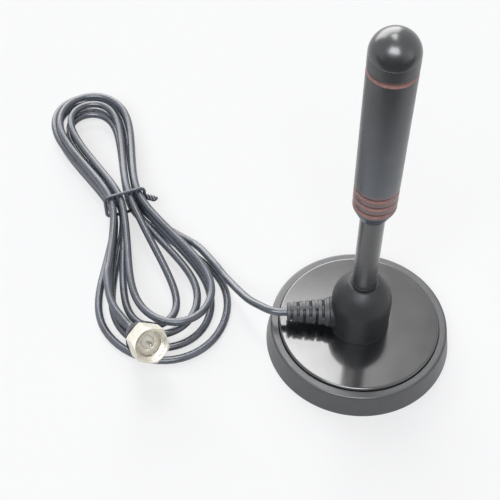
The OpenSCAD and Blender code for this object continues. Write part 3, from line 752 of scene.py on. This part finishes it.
@dataclass
class Rod:
    """The turned rod with its red grooves, its domed cap and the coil inside."""

    foot: float = 63.4
    length: float = 60.6
    mouth_r: float = 4.3
    mouth_ease: float = 0.25
    low_r: float = 6.4
    top_r: float = 6.8
    top_ease: float = 0.12
    taper_h: float = 4.6
    taper_ease: float = 0.5
    socket_r: float = 3.72
    socket_top: float = 70.4
    bore_r: float = 5.1
    groove_w: float = 1.7
    groove_depth: float = 0.45
    groove_flat: float = 0.15
    groove_ease: float = 0.1
    enamel: float = 0.2
    low_grooves: tuple[float, ...] = (6.2, 9.4, 12.6)
    top_groove: float = 56.1
    rim_h: float = 0.3
    rim_ease: float = 0.1
    spigot: float = 4.6
    spigot_ease: float = 0.3
    spigot_clear: float = 0.02
    dome_steps: int = 24
    crease: float = 28.0

    def radius(self, height: float) -> float:
        """Gives the rod's outside radius at a height above its lower end."""
        return self.low_r + (self.top_r - self.low_r) * (height - self.taper_h) / (self.length - self.taper_h)

    def groove(self, height: float, fill: float, ease: float) -> list[Corner]:
        """Gives the profile of one groove.

        Args:
            height: Height of its middle above the rod's lower end.
            fill: Depth of enamel that lies in it.
            ease: Easing of its edges.

        Returns:
            Four corners from the lower edge to the upper edge.
        """
        low, high = height - self.groove_w / 2, height + self.groove_w / 2
        floor = self.radius(height) - self.groove_depth + fill
        return [(self.radius(low), self.foot + low, ease),
                (floor, self.foot + height - self.groove_flat, ease / 2),
                (floor, self.foot + height + self.groove_flat, ease / 2),
                (self.radius(high), self.foot + high, ease)]

    def band(self, height: float) -> Shape:
        """Turns the enamel that lies in one groove."""
        return turned(self.groove(height, 0, 0) + self.groove(height, self.enamel, 0)[::-1])

    def build(self) -> None:
        """Makes the rod, its enamel bands and its cap, and dresses the coil."""
        top = self.foot + self.length
        grooves = [corner for height in (*self.low_grooves, self.top_groove)
                   for corner in self.groove(height, 0, self.groove_ease)]
        rod = turned([
            (self.socket_r, self.foot, 0), (self.mouth_r, self.foot, self.mouth_ease),
            (self.low_r, self.foot + self.taper_h, self.taper_ease), *grooves,
            (self.top_r, top, self.top_ease),
            (self.bore_r, top, 0), (self.bore_r, self.socket_top, 0), (self.socket_r, self.socket_top, 0)])
        settle(piece_from(rod, "rod", ROD_ENAMEL, crease=self.crease), "mast", "rod_black", ["rod_shell"])
        bands = bmesh.new()
        for height in self.low_grooves:
            mesh = bpy.data.meshes.new("band")
            band = self.band(height)
            band.to_mesh(mesh)
            band.free()
            bands.from_mesh(mesh)
            bpy.data.meshes.remove(mesh)
        settle(piece_from(bands, "red_bands", GROOVE_RED), "mast", "red_enamel", ["low_groove_bands"])
        settle(piece_from(self.band(self.top_groove), "red_band", GROOVE_RED), "mast", "red_enamel",
               ["top_groove_band"])
        spigot_r = self.bore_r - self.spigot_clear
        cap = turned([
            (0, top - self.spigot, 0), (spigot_r, top - self.spigot, self.spigot_ease), (spigot_r, top, 0),
            (self.top_r, top, self.rim_ease),
            *arc((0, top + self.rim_h), self.top_r, 0, 90, self.dome_steps)], closed=False)
        settle(piece_from(cap, "cap", CAP_ABS), "mast", "cap_black", ["rod_cap"])
        dress(NYLON, "coil_former")
        dress(COPPER, "loading_coil")


@dataclass
class Plug:
    """The screw-on plug at the cable's end."""

    at: tuple[float, float, float] = (-72.2, -5.1, 10.8)
    lean: float = 54.0
    heading: float = -61.0
    cable_r: float = 1.35
    sleeve_len: float = 8.5
    sleeve_r: float = 4.3
    sleeve_tail_r: float = 3.4
    sleeve_tail_ease: float = 0.6
    sleeve_mouth_ease: float = 0.1
    sleeve_ease: float = 0.35
    barrel_r: float = 2.7
    barrel_len: float = 6.0
    neck_r: float = 3.4
    gasket_r: float = 5.9
    gasket_t: float = 0.7
    gasket_ease: float = 0.25
    nut_foot: float = 9.3
    nut_len: float = 7.2
    nut_flats: float = 11.0
    nut_turn: float = -90.0
    nut_bevel: float = 42.0
    nut_bevel_ease: float = 0.1
    nut_lip: float = 1.6
    nut_lip_r: float = 3.45
    nut_lip_ease: float = 0.08
    nut_bore_r: float = 4.6
    nut_bore_ease: float = 0.1
    nut_mouth: float = 0.65
    nut_edge: float = 0.18
    nut_edge_steps: int = 3
    nut_crease: float = 30.0
    nut_around: int = 120
    corner_past: float = 0.01
    bore_past: float = 1.0
    thread_pitch: float = 0.794
    thread_h: float = 0.3
    thread_start: float = 12.7
    thread_turns: int = 4
    thread_steps: int = 48
    thread_share: float = 0.42
    thread_bite: float = 0.1
    flange_foot: float = 11.0
    flange_t: float = 1.3
    flange_r: float = 4.5
    flange_foot_ease: float = 0.1
    flange_ease: float = 0.2
    insulator_r: float = 2.1
    insulator_ease: float = 0.2
    insulator_seat_ease: float = 0.15
    pin_r: float = 0.45
    pin_tip: float = 15.9
    pin_ease: float = 0.25
    pin_hole_ease: float = 0.05
    fit: float = 0.02
    around: int = 96
    insulator_around: int = 64
    insulator_lift: float = 0.05
    pin_around: int = 32

    def place(self) -> Matrix:
        """Gives the plug's place, from upright at the origin to where it lies."""
        return (Matrix.Translation(self.at) @ Matrix.Rotation(math.radians(self.heading), 4, "Z")
                @ Matrix.Rotation(math.radians(self.lean), 4, "Y"))

    def nut(self) -> Shape:
        """Makes the hexagon nut: bevelled flats, a stepped bore and a cut thread.

        Returns:
            The closed nut, upright at the origin.
        """
        corner = self.nut_flats / 2 / math.cos(math.radians(30))
        drop = (corner - self.nut_flats / 2) * math.tan(math.radians(self.nut_bevel))
        foot, front = self.nut_foot, self.nut_foot + self.nut_len
        hexagon = bmesh.new()
        bmesh.ops.create_cone(hexagon, cap_ends=True, segments=6, radius1=corner, radius2=corner,
                              depth=self.nut_len,
                              matrix=Matrix.Translation((0, 0, foot + self.nut_len / 2))
                              @ Matrix.Rotation(math.radians(self.nut_turn), 4, "Z"))
        upright = [e for e in hexagon.edges if abs(e.verts[0].co.z - e.verts[1].co.z) > self.nut_len / 2]
        bmesh.ops.bevel(hexagon, geom=upright, offset=self.nut_edge, offset_type="OFFSET",
                        segments=self.nut_edge_steps, profile=0.5, affect="EDGES", material=-1)
        past = corner + self.corner_past
        below, above = foot - self.bore_past, front + self.bore_past
        ease = self.nut_bevel_ease
        chamfer = turned([
            (0, foot, 0), (self.nut_flats / 2, foot, ease), (past, foot + drop, ease),
            (past, front - drop, ease), (self.nut_flats / 2, front, ease),
            (0, front, 0)], self.nut_around, closed=False)
        bore = turned([
            (0, below, 0), (self.nut_lip_r, below, 0),
            (self.nut_lip_r, foot + self.nut_lip, self.nut_lip_ease),
            (self.nut_bore_r, foot + self.nut_lip, self.nut_bore_ease),
            (self.nut_bore_r, front - self.nut_mouth, 0),
            (self.nut_bore_r + self.nut_mouth, front, 0), (self.nut_bore_r + self.nut_mouth, above, 0),
            (0, above, 0)], self.nut_around, closed=False)
        blank = combined(combined(hexagon, chamfer, Cut.TRIM), bore, Cut.CARVE)
        return combined(blank, self.thread(), Cut.JOIN)

    def thread(self) -> Shape:
        """Sweeps the nut's inner thread.

        Returns:
            One closed helical ridge.
        """
        bm = bmesh.new()
        crest, root = self.nut_bore_r - self.thread_h, self.nut_bore_r + self.thread_bite
        half = self.thread_pitch * self.thread_share
        verts = [bm.verts.new((out, 0, self.thread_start + up))
                 for out, up in ((root, -half), (crest, 0), (root, half))]
        edges = [bm.edges.new((verts[i], verts[(i + 1) % 3])) for i in range(3)]
        bmesh.ops.spin(bm, geom=verts + edges, cent=(0, 0, 0), axis=(0, 0, 1),
                       dvec=(0, 0, self.thread_pitch / self.thread_steps),
                       angle=math.tau * self.thread_turns, steps=self.thread_steps * self.thread_turns)
        bmesh.ops.holes_fill(bm, edges=[e for e in bm.edges if e.is_boundary])
        bmesh.ops.recalc_face_normals(bm, faces=bm.faces)
        return bm

    def build(self) -> list[Piece]:
        """Makes the plug's pieces.

        Returns:
            The pieces, which lie on the cable's end.
        """
        fit, face = self.fit, self.flange_foot + self.flange_t
        barrel_foot = self.sleeve_len - self.barrel_len
        sleeve = turned([
            (self.cable_r, 0, self.sleeve_mouth_ease), (self.sleeve_tail_r, 0, self.sleeve_tail_ease),
            (self.sleeve_r, self.sleeve_len, self.sleeve_ease),
            (self.barrel_r + fit, self.sleeve_len, 0), (self.barrel_r + fit, barrel_foot, 0),
            (self.cable_r, barrel_foot, 0)], self.around)
        gasket_top = self.sleeve_len + self.gasket_t
        gasket = turned([
            (self.neck_r + fit, self.sleeve_len, 0), (self.gasket_r, self.sleeve_len, self.gasket_ease),
            (self.gasket_r, gasket_top, self.gasket_ease), (self.neck_r + fit, gasket_top, 0)], self.around)
        shell = turned([
            (self.cable_r, barrel_foot, 0), (self.barrel_r, barrel_foot, 0),
            (self.barrel_r, self.sleeve_len, 0), (self.neck_r, self.sleeve_len, 0),
            (self.neck_r, self.flange_foot, 0),
            (self.flange_r, self.flange_foot, self.flange_foot_ease),
            (self.flange_r, face, self.flange_ease),
            (self.insulator_r + fit, face, self.insulator_seat_ease),
            (self.insulator_r + fit, self.barrel_len, 0),
            (self.cable_r, self.barrel_len, 0)], self.around)
        under = self.barrel_len + self.insulator_lift
        insulator = turned([
            (self.pin_r + fit, under, 0), (self.insulator_r, under, 0),
            (self.insulator_r, face, self.insulator_ease),
            (self.pin_r + fit, face, self.pin_hole_ease)], self.insulator_around)
        pin = turned([
            (0, self.barrel_len, 0), (self.pin_r, self.barrel_len, 0),
            (self.pin_r, self.pin_tip, self.pin_ease), (0, self.pin_tip, 0)], self.pin_around, closed=False)
        rows = (
            (sleeve, "sleeve", SLEEVE_VINYL, "sleeve_vinyl", "plug_sleeve"),
            (gasket, "gasket", SEAL_RUBBER, "seal_rubber", "plug_gasket"),
            (shell, "plug_shell", MATT_NICKEL, "nickel", "plug_body"),
            (insulator, "insulator", NYLON, "white_nylon", "plug_insulator"),
            (pin, "pin", TINNED, "copper", "plug_pin"))
        place = self.place()
        pieces = [settle(piece_from(shape, name, finish, place), "base", slot, [node])
                  for shape, name, finish, slot, node in rows]
        nut = piece_from(self.nut(), "nut", NICKEL, place, self.nut_crease)
        return [*pieces, settle(nut, "plug_nut", "nickel", ["plug_nut"])]


class End(Enum):
    """The two ends of the hank, as the sign of its long direction."""

    FAR = 1
    NEAR = -1


Strand = tuple[int, int]


@dataclass
class CableRun:
    """The thin coaxial lead: out of the hub, through a tied hank and into the plug.

    In the hank, u runs along it away from the viewer, v to the right and z up. A strand is its layer and its
    slot, counted inwards.
    """

    diameter: float = 2.6
    length: float = 1575.0
    strand_step: float = 3.25
    floor_clear: float = 0.05
    exit: tuple[float, float, float] = (-23.5, 0.0, 14.9)
    tie_at: tuple[float, float] = (-80.0, 54.0)
    turn: float = 20.5
    layers: int = 3
    slots: int = 2
    waist_half: float = 5.0
    waist_lift: float = 1.7
    run_share: float = 0.42
    run_spread: float = 0.55
    near_turns: tuple[tuple[float, float, float], ...] = (
        (21.5, 21.4, 66), (17, 15.8, 61), (16.4, 11.6, 57.5), (12.6, 4, 53.5), (8.5, 16.6, 57))
    far_turns: tuple[tuple[float, float, float], ...] = (
        (13.2, 11.2, 58.5), (9.2, 7.7, 54), (14.2, 10.6, 58.6), (10, 6.9, 49), (8.6, 8.2, 51),
        (12.4, 12, 55.4))
    lead_spread: float = 24.0
    tail_spread: float = 15.6
    end_reach: float = 40.0
    end_overrun: float = 1.7
    lobe_side: float = 1.22
    lobe_corner: float = 0.56
    lobe_over: float = 0.08
    lead_points: tuple[tuple[float, float, float], ...] = (
        (0, 0, 0), (-3, 1, -0.4), (-6.5, 4, -1.8), (-9.5, 7.5, -3.8), (-12.3, 12, -6), (-15.2, 17, -8.1),
        (-18.2, 21.8, -9.4), (-21.3, 27, -10.1), (-26.1, 34.7, -11.8))
    tail_points: tuple[tuple[float, float, float], ...] = ((-83.6, 19, 8.4), (-81, 8, 8.3))
    plug_depth: float = 6.0
    hank_steps: int = 9
    end_steps: int = 6
    rounds: int = 5
    plug: Plug = field(default_factory=Plug)

    def strand(self, index: int) -> Strand:
        """Gives the strand of one loop, counted from the outlet."""
        layer, slot = divmod(index, self.slots)
        return layer, slot if layer < self.layers - 1 else self.slots - 1 - slot

    def row_z(self, row: int) -> float:
        """Gives the height of a row of strands."""
        return self.diameter / 2 + self.floor_clear + row * self.strand_step

    def waist_v(self, strand: Strand) -> float:
        """Gives a strand's distance from the middle of the waist."""
        return (self.slots - 0.5 - strand[1]) * self.strand_step

    def side(self, hand: int, strand: Strand, half: float, middle: float, wide: float, reach: float,
             lobe_z: float) -> list[Vector]:
        """Gives the control points of one side of a turn, from the waist out to the rounding.

        Args:
            hand: Minus one on the left and one on the right.
            strand: The strand that the side belongs to.
            half: Half-width of the turn on that side.
            middle: Sideways middle of the turn.
            wide: Mean half-width of the turn.
            reach: Reach of the turn along the hank.
            lobe_z: Height of the rounding.

        Returns:
            Four control points.
        """
        v0, v1, z0, round_u = hand * self.waist_v(strand), hand * half, self.row_z(strand[0]), reach - wide
        return [Vector((self.waist_half, v0, z0 + self.waist_lift)),
                Vector((self.waist_half + self.run_share * (round_u - self.waist_half),
                        v0 + self.run_spread * (v1 - v0), z0)),
                Vector((round_u, middle + (v1 - middle) * self.lobe_side, lobe_z)),
                Vector((reach + self.lobe_over * wide, middle + (v1 - middle) * self.lobe_corner, lobe_z))]

    def half_turn(self, end: End, left: Strand, right: Strand,
                  size: tuple[float, float, float]) -> list[Vector]:
        """Gives the control points of one turn.

        Args:
            end: The end of the hank that it lies at.
            left: The strand on its left.
            right: The strand on its right.
            size: Its left half-width, right half-width and reach.

        Returns:
            Eight control points, in the order that the cable follows.
        """
        middle, wide, height = (size[1] - size[0]) / 2, (size[1] + size[0]) / 2, self.row_z(left[0])
        first = self.side(-1, left, size[0], middle, wide, size[2], height)
        second = self.side(1, right, size[1], middle, wide, size[2], height)
        points = second + first[::-1] if end is End.FAR else first + second[::-1]
        return [Vector((end.value * p.x, p.y, p.z)) for p in points]

    def run_end(self, hand: int, strand: Strand, half: float) -> list[Vector]:
        """Gives the control points of a strand that leaves the hank at its near end.

        Args:
            hand: Minus one on the left and one on the right.
            strand: The strand that leaves.
            half: Sideways distance that it heads for.

        Returns:
            Three control points, from the waist outwards.
        """
        v0 = hand * self.waist_v(strand)
        first = Vector((-self.waist_half, v0, self.row_z(strand[0]) + self.waist_lift))
        step = Vector((-self.run_share * (self.end_reach - self.waist_half),
                       self.run_spread * (hand * half - v0), 0))
        return [first, first + step - Vector((0, 0, self.waist_lift)), first + self.end_overrun * step]

    def laid(self, point: Vector) -> Vector:
        """Turns a point of the hank to its place on the floor."""
        placed = Matrix.Rotation(math.radians(self.turn), 3, "Z") @ Vector((point.y, point.x, 0))
        return Vector((self.tie_at[0] + placed.x, self.tie_at[1] + placed.y, point.z))

    def hank(self) -> list[Vector]:
        """Lays the hank's line.

        Returns:
            The points of a cubic spline, which runs near its control points.
        """
        last = self.layers * self.slots - 1
        controls = self.run_end(1, self.strand(0), self.lead_spread)[::-1]
        for k in range(last + 1):
            controls += self.half_turn(End.FAR, self.strand(k), self.strand(k), self.far_turns[k])
            if k < last:
                controls += self.half_turn(End.NEAR, self.strand(k), self.strand(k + 1), self.near_turns[k])
        controls += self.run_end(-1, self.strand(last), self.tail_spread)
        line = []
        for a, b, c, d in zip(controls, controls[1:], controls[2:], controls[3:]):
            for f in (i / self.hank_steps for i in range(self.hank_steps)):
                line.append(((1 - f) ** 3 * a + (3 * f ** 3 - 6 * f ** 2 + 4) * b
                             + (-3 * f ** 3 + 3 * f ** 2 + 3 * f + 1) * c + f ** 3 * d) / 6)
        line.append((controls[-3] + 4 * controls[-2] + controls[-1]) / 6)
        return [self.laid(point) for point in line]

    def through(self, points: Sequence[Vector]) -> list[Vector]:
        """Lays a smooth line through points.

        Args:
            points: The points to go through.

        Returns:
            The line, with even steps from each point to the next.
        """
        ends = [2 * points[0] - points[1], *points, 2 * points[-1] - points[-2]]
        line = []
        for a, b, c, d in zip(ends, ends[1:], ends[2:], ends[3:]):
            for f in (i / self.end_steps for i in range(self.end_steps)):
                line.append((2 * b + (c - a) * f + (2 * a - 5 * b + 4 * c - d) * f ** 2
                             + (3 * b - a - 3 * c + d) * f ** 3) / 2)
        return [*line, points[-1].copy()]

    def route(self) -> list[Vector]:
        """Joins the lead, the hank and the tail.

        Returns:
            The whole line, from the outlet to the inside of the plug.
        """
        hank, leave = self.hank(), Vector(self.exit)
        into, out = (hank[0] - hank[1]).normalized(), (hank[-1] - hank[-2]).normalized()
        bite = self.diameter
        enter, depart = hank[0] + into * bite, hank[-1] + out * bite
        start = leave - Vector((bite, 0, 0))
        lead = self.through([*(start + Vector(p) for p in self.lead_points), enter + into * bite])
        plug = self.plug.place()
        mouth, axis = plug.translation, plug.to_3x3() @ Vector((0, 0, 1))
        tail = self.through([depart + out * 2 * bite, *(Vector(p) for p in self.tail_points),
                             mouth - axis * 2 * bite])
        return [leave, *lead, enter, *hank, depart, *tail, mouth, mouth + axis * self.plug_depth]

    def build(self, with_pieces: Sequence[Piece]) -> None:
        """Args:
            with_pieces: The pieces that lie on it. It is not used.
        """
        cable = wire("cable", [(self.route(), False)], self.diameter / 2, self.rounds, CABLE_VINYL)
        settle(cable, "base", "cable_vinyl", ["cable_lead", "cable_hank", "cable_tail"])
        tuple(c * MM for c in self.exit)


@dataclass
class WireTie:
    """The coated wire tie round the hank's waist, its ends twisted together."""

    wire_r: float = 0.6
    half: float = 5.3
    low: float = 2.98
    high: float = 9.48
    corner: float = 1.96
    corner_steps: int = 8
    tail_len: float = 4.5
    tail_turns: float = 1.5
    tail_steps: int = 36
    tail_twist: float = 0.9
    rounds: int = 4
    tail_heading: tuple[float, float, float] = (-0.77, 0.54, 0.34)
    cable: CableRun = field(default_factory=CableRun)

    def loop(self) -> Iterator[Vector]:
        """Rounds the corners of the closed loop about the strands.

        Returns:
            Its points, once round.
        """
        for v, z, start in ((self.half, self.high, 0), (-self.half, self.high, 90),
                            (-self.half, self.low, 180), (self.half, self.low, 270)):
            for i in range(self.corner_steps + 1):
                angle = math.radians(start + 90 * i / self.corner_steps)
                yield Vector((0, v + self.corner * math.cos(angle), z + self.corner * math.sin(angle)))

    def tail(self, side: int) -> Iterator[Vector]:
        """Winds one of the two twisted ends.

        Args:
            side: One for the first end, minus one for the other.

        Returns:
            Its points, from the loop outwards.
        """
        axis = Vector(self.tail_heading).normalized()
        across = axis.cross(Vector((0, 0, 1))).normalized()
        up = across.cross(axis)
        foot = Vector((0, self.half + self.corner + self.wire_r, (self.low + self.high) / 2))
        for i in range(self.tail_steps + 1):
            along = i / self.tail_steps
            angle = math.tau * self.tail_turns * along + (0 if side > 0 else math.pi)
            ring = self.wire_r * self.tail_twist * (math.cos(angle) * across + math.sin(angle) * up)
            yield foot + axis * self.tail_len * along + ring

    def build(self) -> Piece:
        """Makes the tie as three lengths of round wire.

        Returns:
            The tie.
        """
        runs = [(self.loop(), True), (self.tail(1), False), (self.tail(-1), False)]
        laid = [([self.cable.laid(point) for point in points], closed) for points, closed in runs]
        tie = wire("tie", laid, self.wire_r, self.rounds, TIE_VINYL)
        return settle(tie, "base", "tie_vinyl", ["wire_tie"])


@dataclass(frozen=True)
class SoftBox:
    """A soft-edged lamp panel in the sky.

    Angles are in degrees. Bearing counts from straight behind the object to the right.
    """

    bearing: tuple[float, float]
    elevation: tuple[float, float]
    edge: float
    radiance: float
    tint: str = "#ffffff"

    def light(self, tree: Tree, direction: Socket) -> Socket:
        """Adds the panel to the sky, with its tint."""
        return add_node(tree, "ShaderNodeVectorMath", {
            0: linear(self.tint)[:3], "Scale": self.strength(tree, direction)}, operation="SCALE").outputs[0]

    def strength(self, tree: Tree, direction: Socket) -> Socket:
        """Works out how much the panel gives in a direction.

        Args:
            tree: The world's tree.
            direction: The direction that the sky is seen in.

        Returns:
            The radiance inside the panel, and nothing outside it.
        """
        middle = math.radians(sum(self.bearing) / 2)
        axes = ((math.cos(middle), -math.sin(middle), 0), (math.sin(middle), math.cos(middle), 0), (0, 0, 1))
        aside, ahead, up = (add_node(tree, "ShaderNodeVectorMath", {0: direction, 1: axis},
                                     operation="DOT_PRODUCT").outputs["Value"] for axis in axes)
        bearing = add_node(tree, "ShaderNodeMath", {0: aside, 1: ahead}, operation="ARCTAN2").outputs[0]
        rise = add_node(tree, "ShaderNodeMath", {0: up}, operation="ARCSINE").outputs[0]
        height = add_node(tree, "ShaderNodeMath", {
            0: rise, 1: math.radians(sum(self.elevation) / 2)}, operation="SUBTRACT").outputs[0]
        strength = self.radiance
        for angle, (low, high) in ((bearing, self.bearing), (height, self.elevation)):
            half = (high - low) / 2
            away = add_node(tree, "ShaderNodeMath", {0: angle}, operation="ABSOLUTE").outputs[0]
            inside = add_node(tree, "ShaderNodeMapRange", {
                "Value": away, "From Min": math.radians(half + self.edge),
                "From Max": math.radians(half - self.edge)}, interpolation_type="SMOOTHSTEP").outputs[0]
            strength = add_node(tree, "ShaderNodeMath", {
                0: inside, 1: strength}, operation="MULTIPLY").outputs[0]
        return strength


@dataclass
class Studio:
    """The white floor, the soft light and the camera. Lengths are in metres.

    The card is what reflections see on the viewer's side. Its radiance is the share of white that it hides.
    """

    camera_at: tuple[float, float, float] = (-0.03540, -0.20504, 0.30570)
    camera_tilt: float = 38.392
    lens: float = 79.5
    sensor: float = 36.0
    floor_half: float = 3.0
    floor_z: float = -0.00002
    floor_colour: str = "#e8e8e8"
    floor_glow: float = 0.7
    floor_white: str = "#f9f9f9"
    card_near: float = -0.075
    card_far: float = -0.135
    card_shade: float = 0.65
    room: float = 0.06
    room_tint: str = "#f4f7ff"
    boxes: tuple[SoftBox, ...] = (
        SoftBox((-28, 9.5), (54.6, 83), 2.6, 7.8),
        SoftBox((-48, 15), (4, 44), 5, 4.4),
        SoftBox((105, 150), (-8, 30), 8, 0.5),
        SoftBox((165, 225), (37, 62), 6, 8.0, "#f6f9ff"))
    card: SoftBox = SoftBox((128, 232), (-90, 24), 10, 0.65)

    def build(self) -> None:
        """Sets up the camera, the floor and the sky."""
        camera = bpy.data.cameras.new("camera")
        camera.lens = self.lens
        camera.sensor_width = self.sensor
        view = bpy.data.objects.new("camera", camera)
        view.location = self.camera_at
        view.rotation_euler = (math.radians(self.camera_tilt), 0, 0)
        scene = bpy.context.scene
        scene.collection.objects.link(view)
        scene.camera = view
        scene.view_settings.view_transform = "Standard"
        self.build_floor()
        self.build_sky()
        LOG.info("the studio is set")

    def build_floor(self) -> None:
        """Lays a white floor that keeps the object's shadow.

        Reflections see painted shade on it, darker towards the viewer, as if a black card stood there.
        """
        material = bpy.data.materials.new("white_paper_floor")
        material.use_nodes = True
        tree = material.node_tree
        tree.nodes.clear()
        paper = add_node(tree, "ShaderNodeBsdfDiffuse", {"Color": linear(self.floor_colour)})
        glow = add_node(tree, "ShaderNodeEmission", {"Color": linear(self.floor_white), "Strength": 1.0})
        path = add_node(tree, "ShaderNodeLightPath").outputs
        plain = add_node(tree, "ShaderNodeMath", {
            0: path["Is Camera Ray"], 1: path["Is Transmission Ray"]}, operation="MAXIMUM").outputs[0]
        seen = add_node(tree, "ShaderNodeMath", {
            0: plain, 1: path["Is Glossy Ray"]}, operation="MAXIMUM").outputs[0]
        amount = add_node(tree, "ShaderNodeMath", {
            0: seen, 1: self.floor_glow}, operation="MULTIPLY").outputs[0]
        white = add_node(tree, "ShaderNodeMixShader", {0: amount, 1: paper.outputs[0], 2: glow.outputs[0]})
        # Painted shade, seen only in reflections: the floor darkens towards the viewer.
        where = add_node(tree, "ShaderNodeTexCoord").outputs["Object"]
        ahead = add_node(tree, "ShaderNodeSeparateXYZ", {0: where}).outputs["Y"]
        shade = add_node(tree, "ShaderNodeMapRange", {
            "Value": ahead, "From Min": self.card_near, "From Max": self.card_far, "To Max": self.card_shade},
            interpolation_type="SMOOTHSTEP").outputs[0]
        hidden = add_node(tree, "ShaderNodeMath", {
            0: shade, 1: path["Is Glossy Ray"]}, operation="MULTIPLY").outputs[0]
        card = add_node(tree, "ShaderNodeEmission", {"Strength": 0.0})
        mixed = add_node(tree, "ShaderNodeMixShader", {0: hidden, 1: white.outputs[0], 2: card.outputs[0]})
        add_node(tree, "ShaderNodeOutputMaterial", {"Surface": mixed.outputs[0]})
        bm = bmesh.new()
        bmesh.ops.create_grid(bm, x_segments=1, y_segments=1, size=self.floor_half)
        bmesh.ops.translate(bm, vec=(0, 0, self.floor_z), verts=bm.verts)
        mesh = bpy.data.meshes.new("floor")
        bm.to_mesh(mesh)
        bm.free()
        mesh.materials.append(material)
        floor = bpy.data.objects.new("floor", mesh)
        bpy.context.scene.collection.objects.link(floor)

    def build_sky(self) -> None:
        """Lights the scene from a dim room with soft panels.

        The camera and reflections also see a white background. Reflections see a black card in it, on the
        viewer's side.
        """
        world = bpy.data.worlds.new("studio")
        world.use_nodes = True
        tree = world.node_tree
        tree.nodes.clear()
        direction = add_node(tree, "ShaderNodeTexCoord").outputs["Generated"]
        light = add_node(tree, "ShaderNodeVectorMath", {0: linear(self.room_tint)[:3], "Scale": self.room},
                         operation="SCALE").outputs[0]
        for box in self.boxes:
            light = add_node(tree, "ShaderNodeVectorMath", {0: light, 1: box.light(tree, direction)},
                             operation="ADD").outputs[0]
        path = add_node(tree, "ShaderNodeLightPath").outputs
        plain = add_node(tree, "ShaderNodeMath", {
            0: path["Is Camera Ray"], 1: path["Is Transmission Ray"]}, operation="MAXIMUM").outputs[0]
        open_sky = add_node(tree, "ShaderNodeMath", {
            0: 1.0, 1: self.card.strength(tree, direction)}, operation="SUBTRACT").outputs[0]
        mirrored = add_node(tree, "ShaderNodeMath", {
            0: path["Is Glossy Ray"], 1: open_sky}, operation="MULTIPLY").outputs[0]
        seen = add_node(tree, "ShaderNodeMath", {0: plain, 1: mirrored}, operation="MAXIMUM").outputs[0]
        lit = add_node(tree, "ShaderNodeBackground", {"Color": light, "Strength": 1.0})
        lamps = add_node(tree, "ShaderNodeMixShader", {0: plain, 1: lit.outputs[0]})
        white = add_node(tree, "ShaderNodeBackground", {"Color": linear(self.floor_white), "Strength": seen})
        both = add_node(tree, "ShaderNodeAddShader", {0: lamps.outputs[0], 1: white.outputs[0]})
        add_node(tree, "ShaderNodeOutputWorld", {"Surface": both.outputs[0]})
        bpy.context.scene.world = world


def main() -> None:
    """Builds the studio and the aerial, sub-assembly by sub-assembly."""
    logging.basicConfig(level=logging.INFO, format="%(name)s: %(message)s")
    Studio().build()
    plug, tie = Plug().build(), WireTie().build()
    CableRun().build([*plug, tie])
    for part in (MagnetBase(), Hub(), CableOutlet(), Mast(), Rod()):
        part.build()


if __name__ == "__main__":
    main()
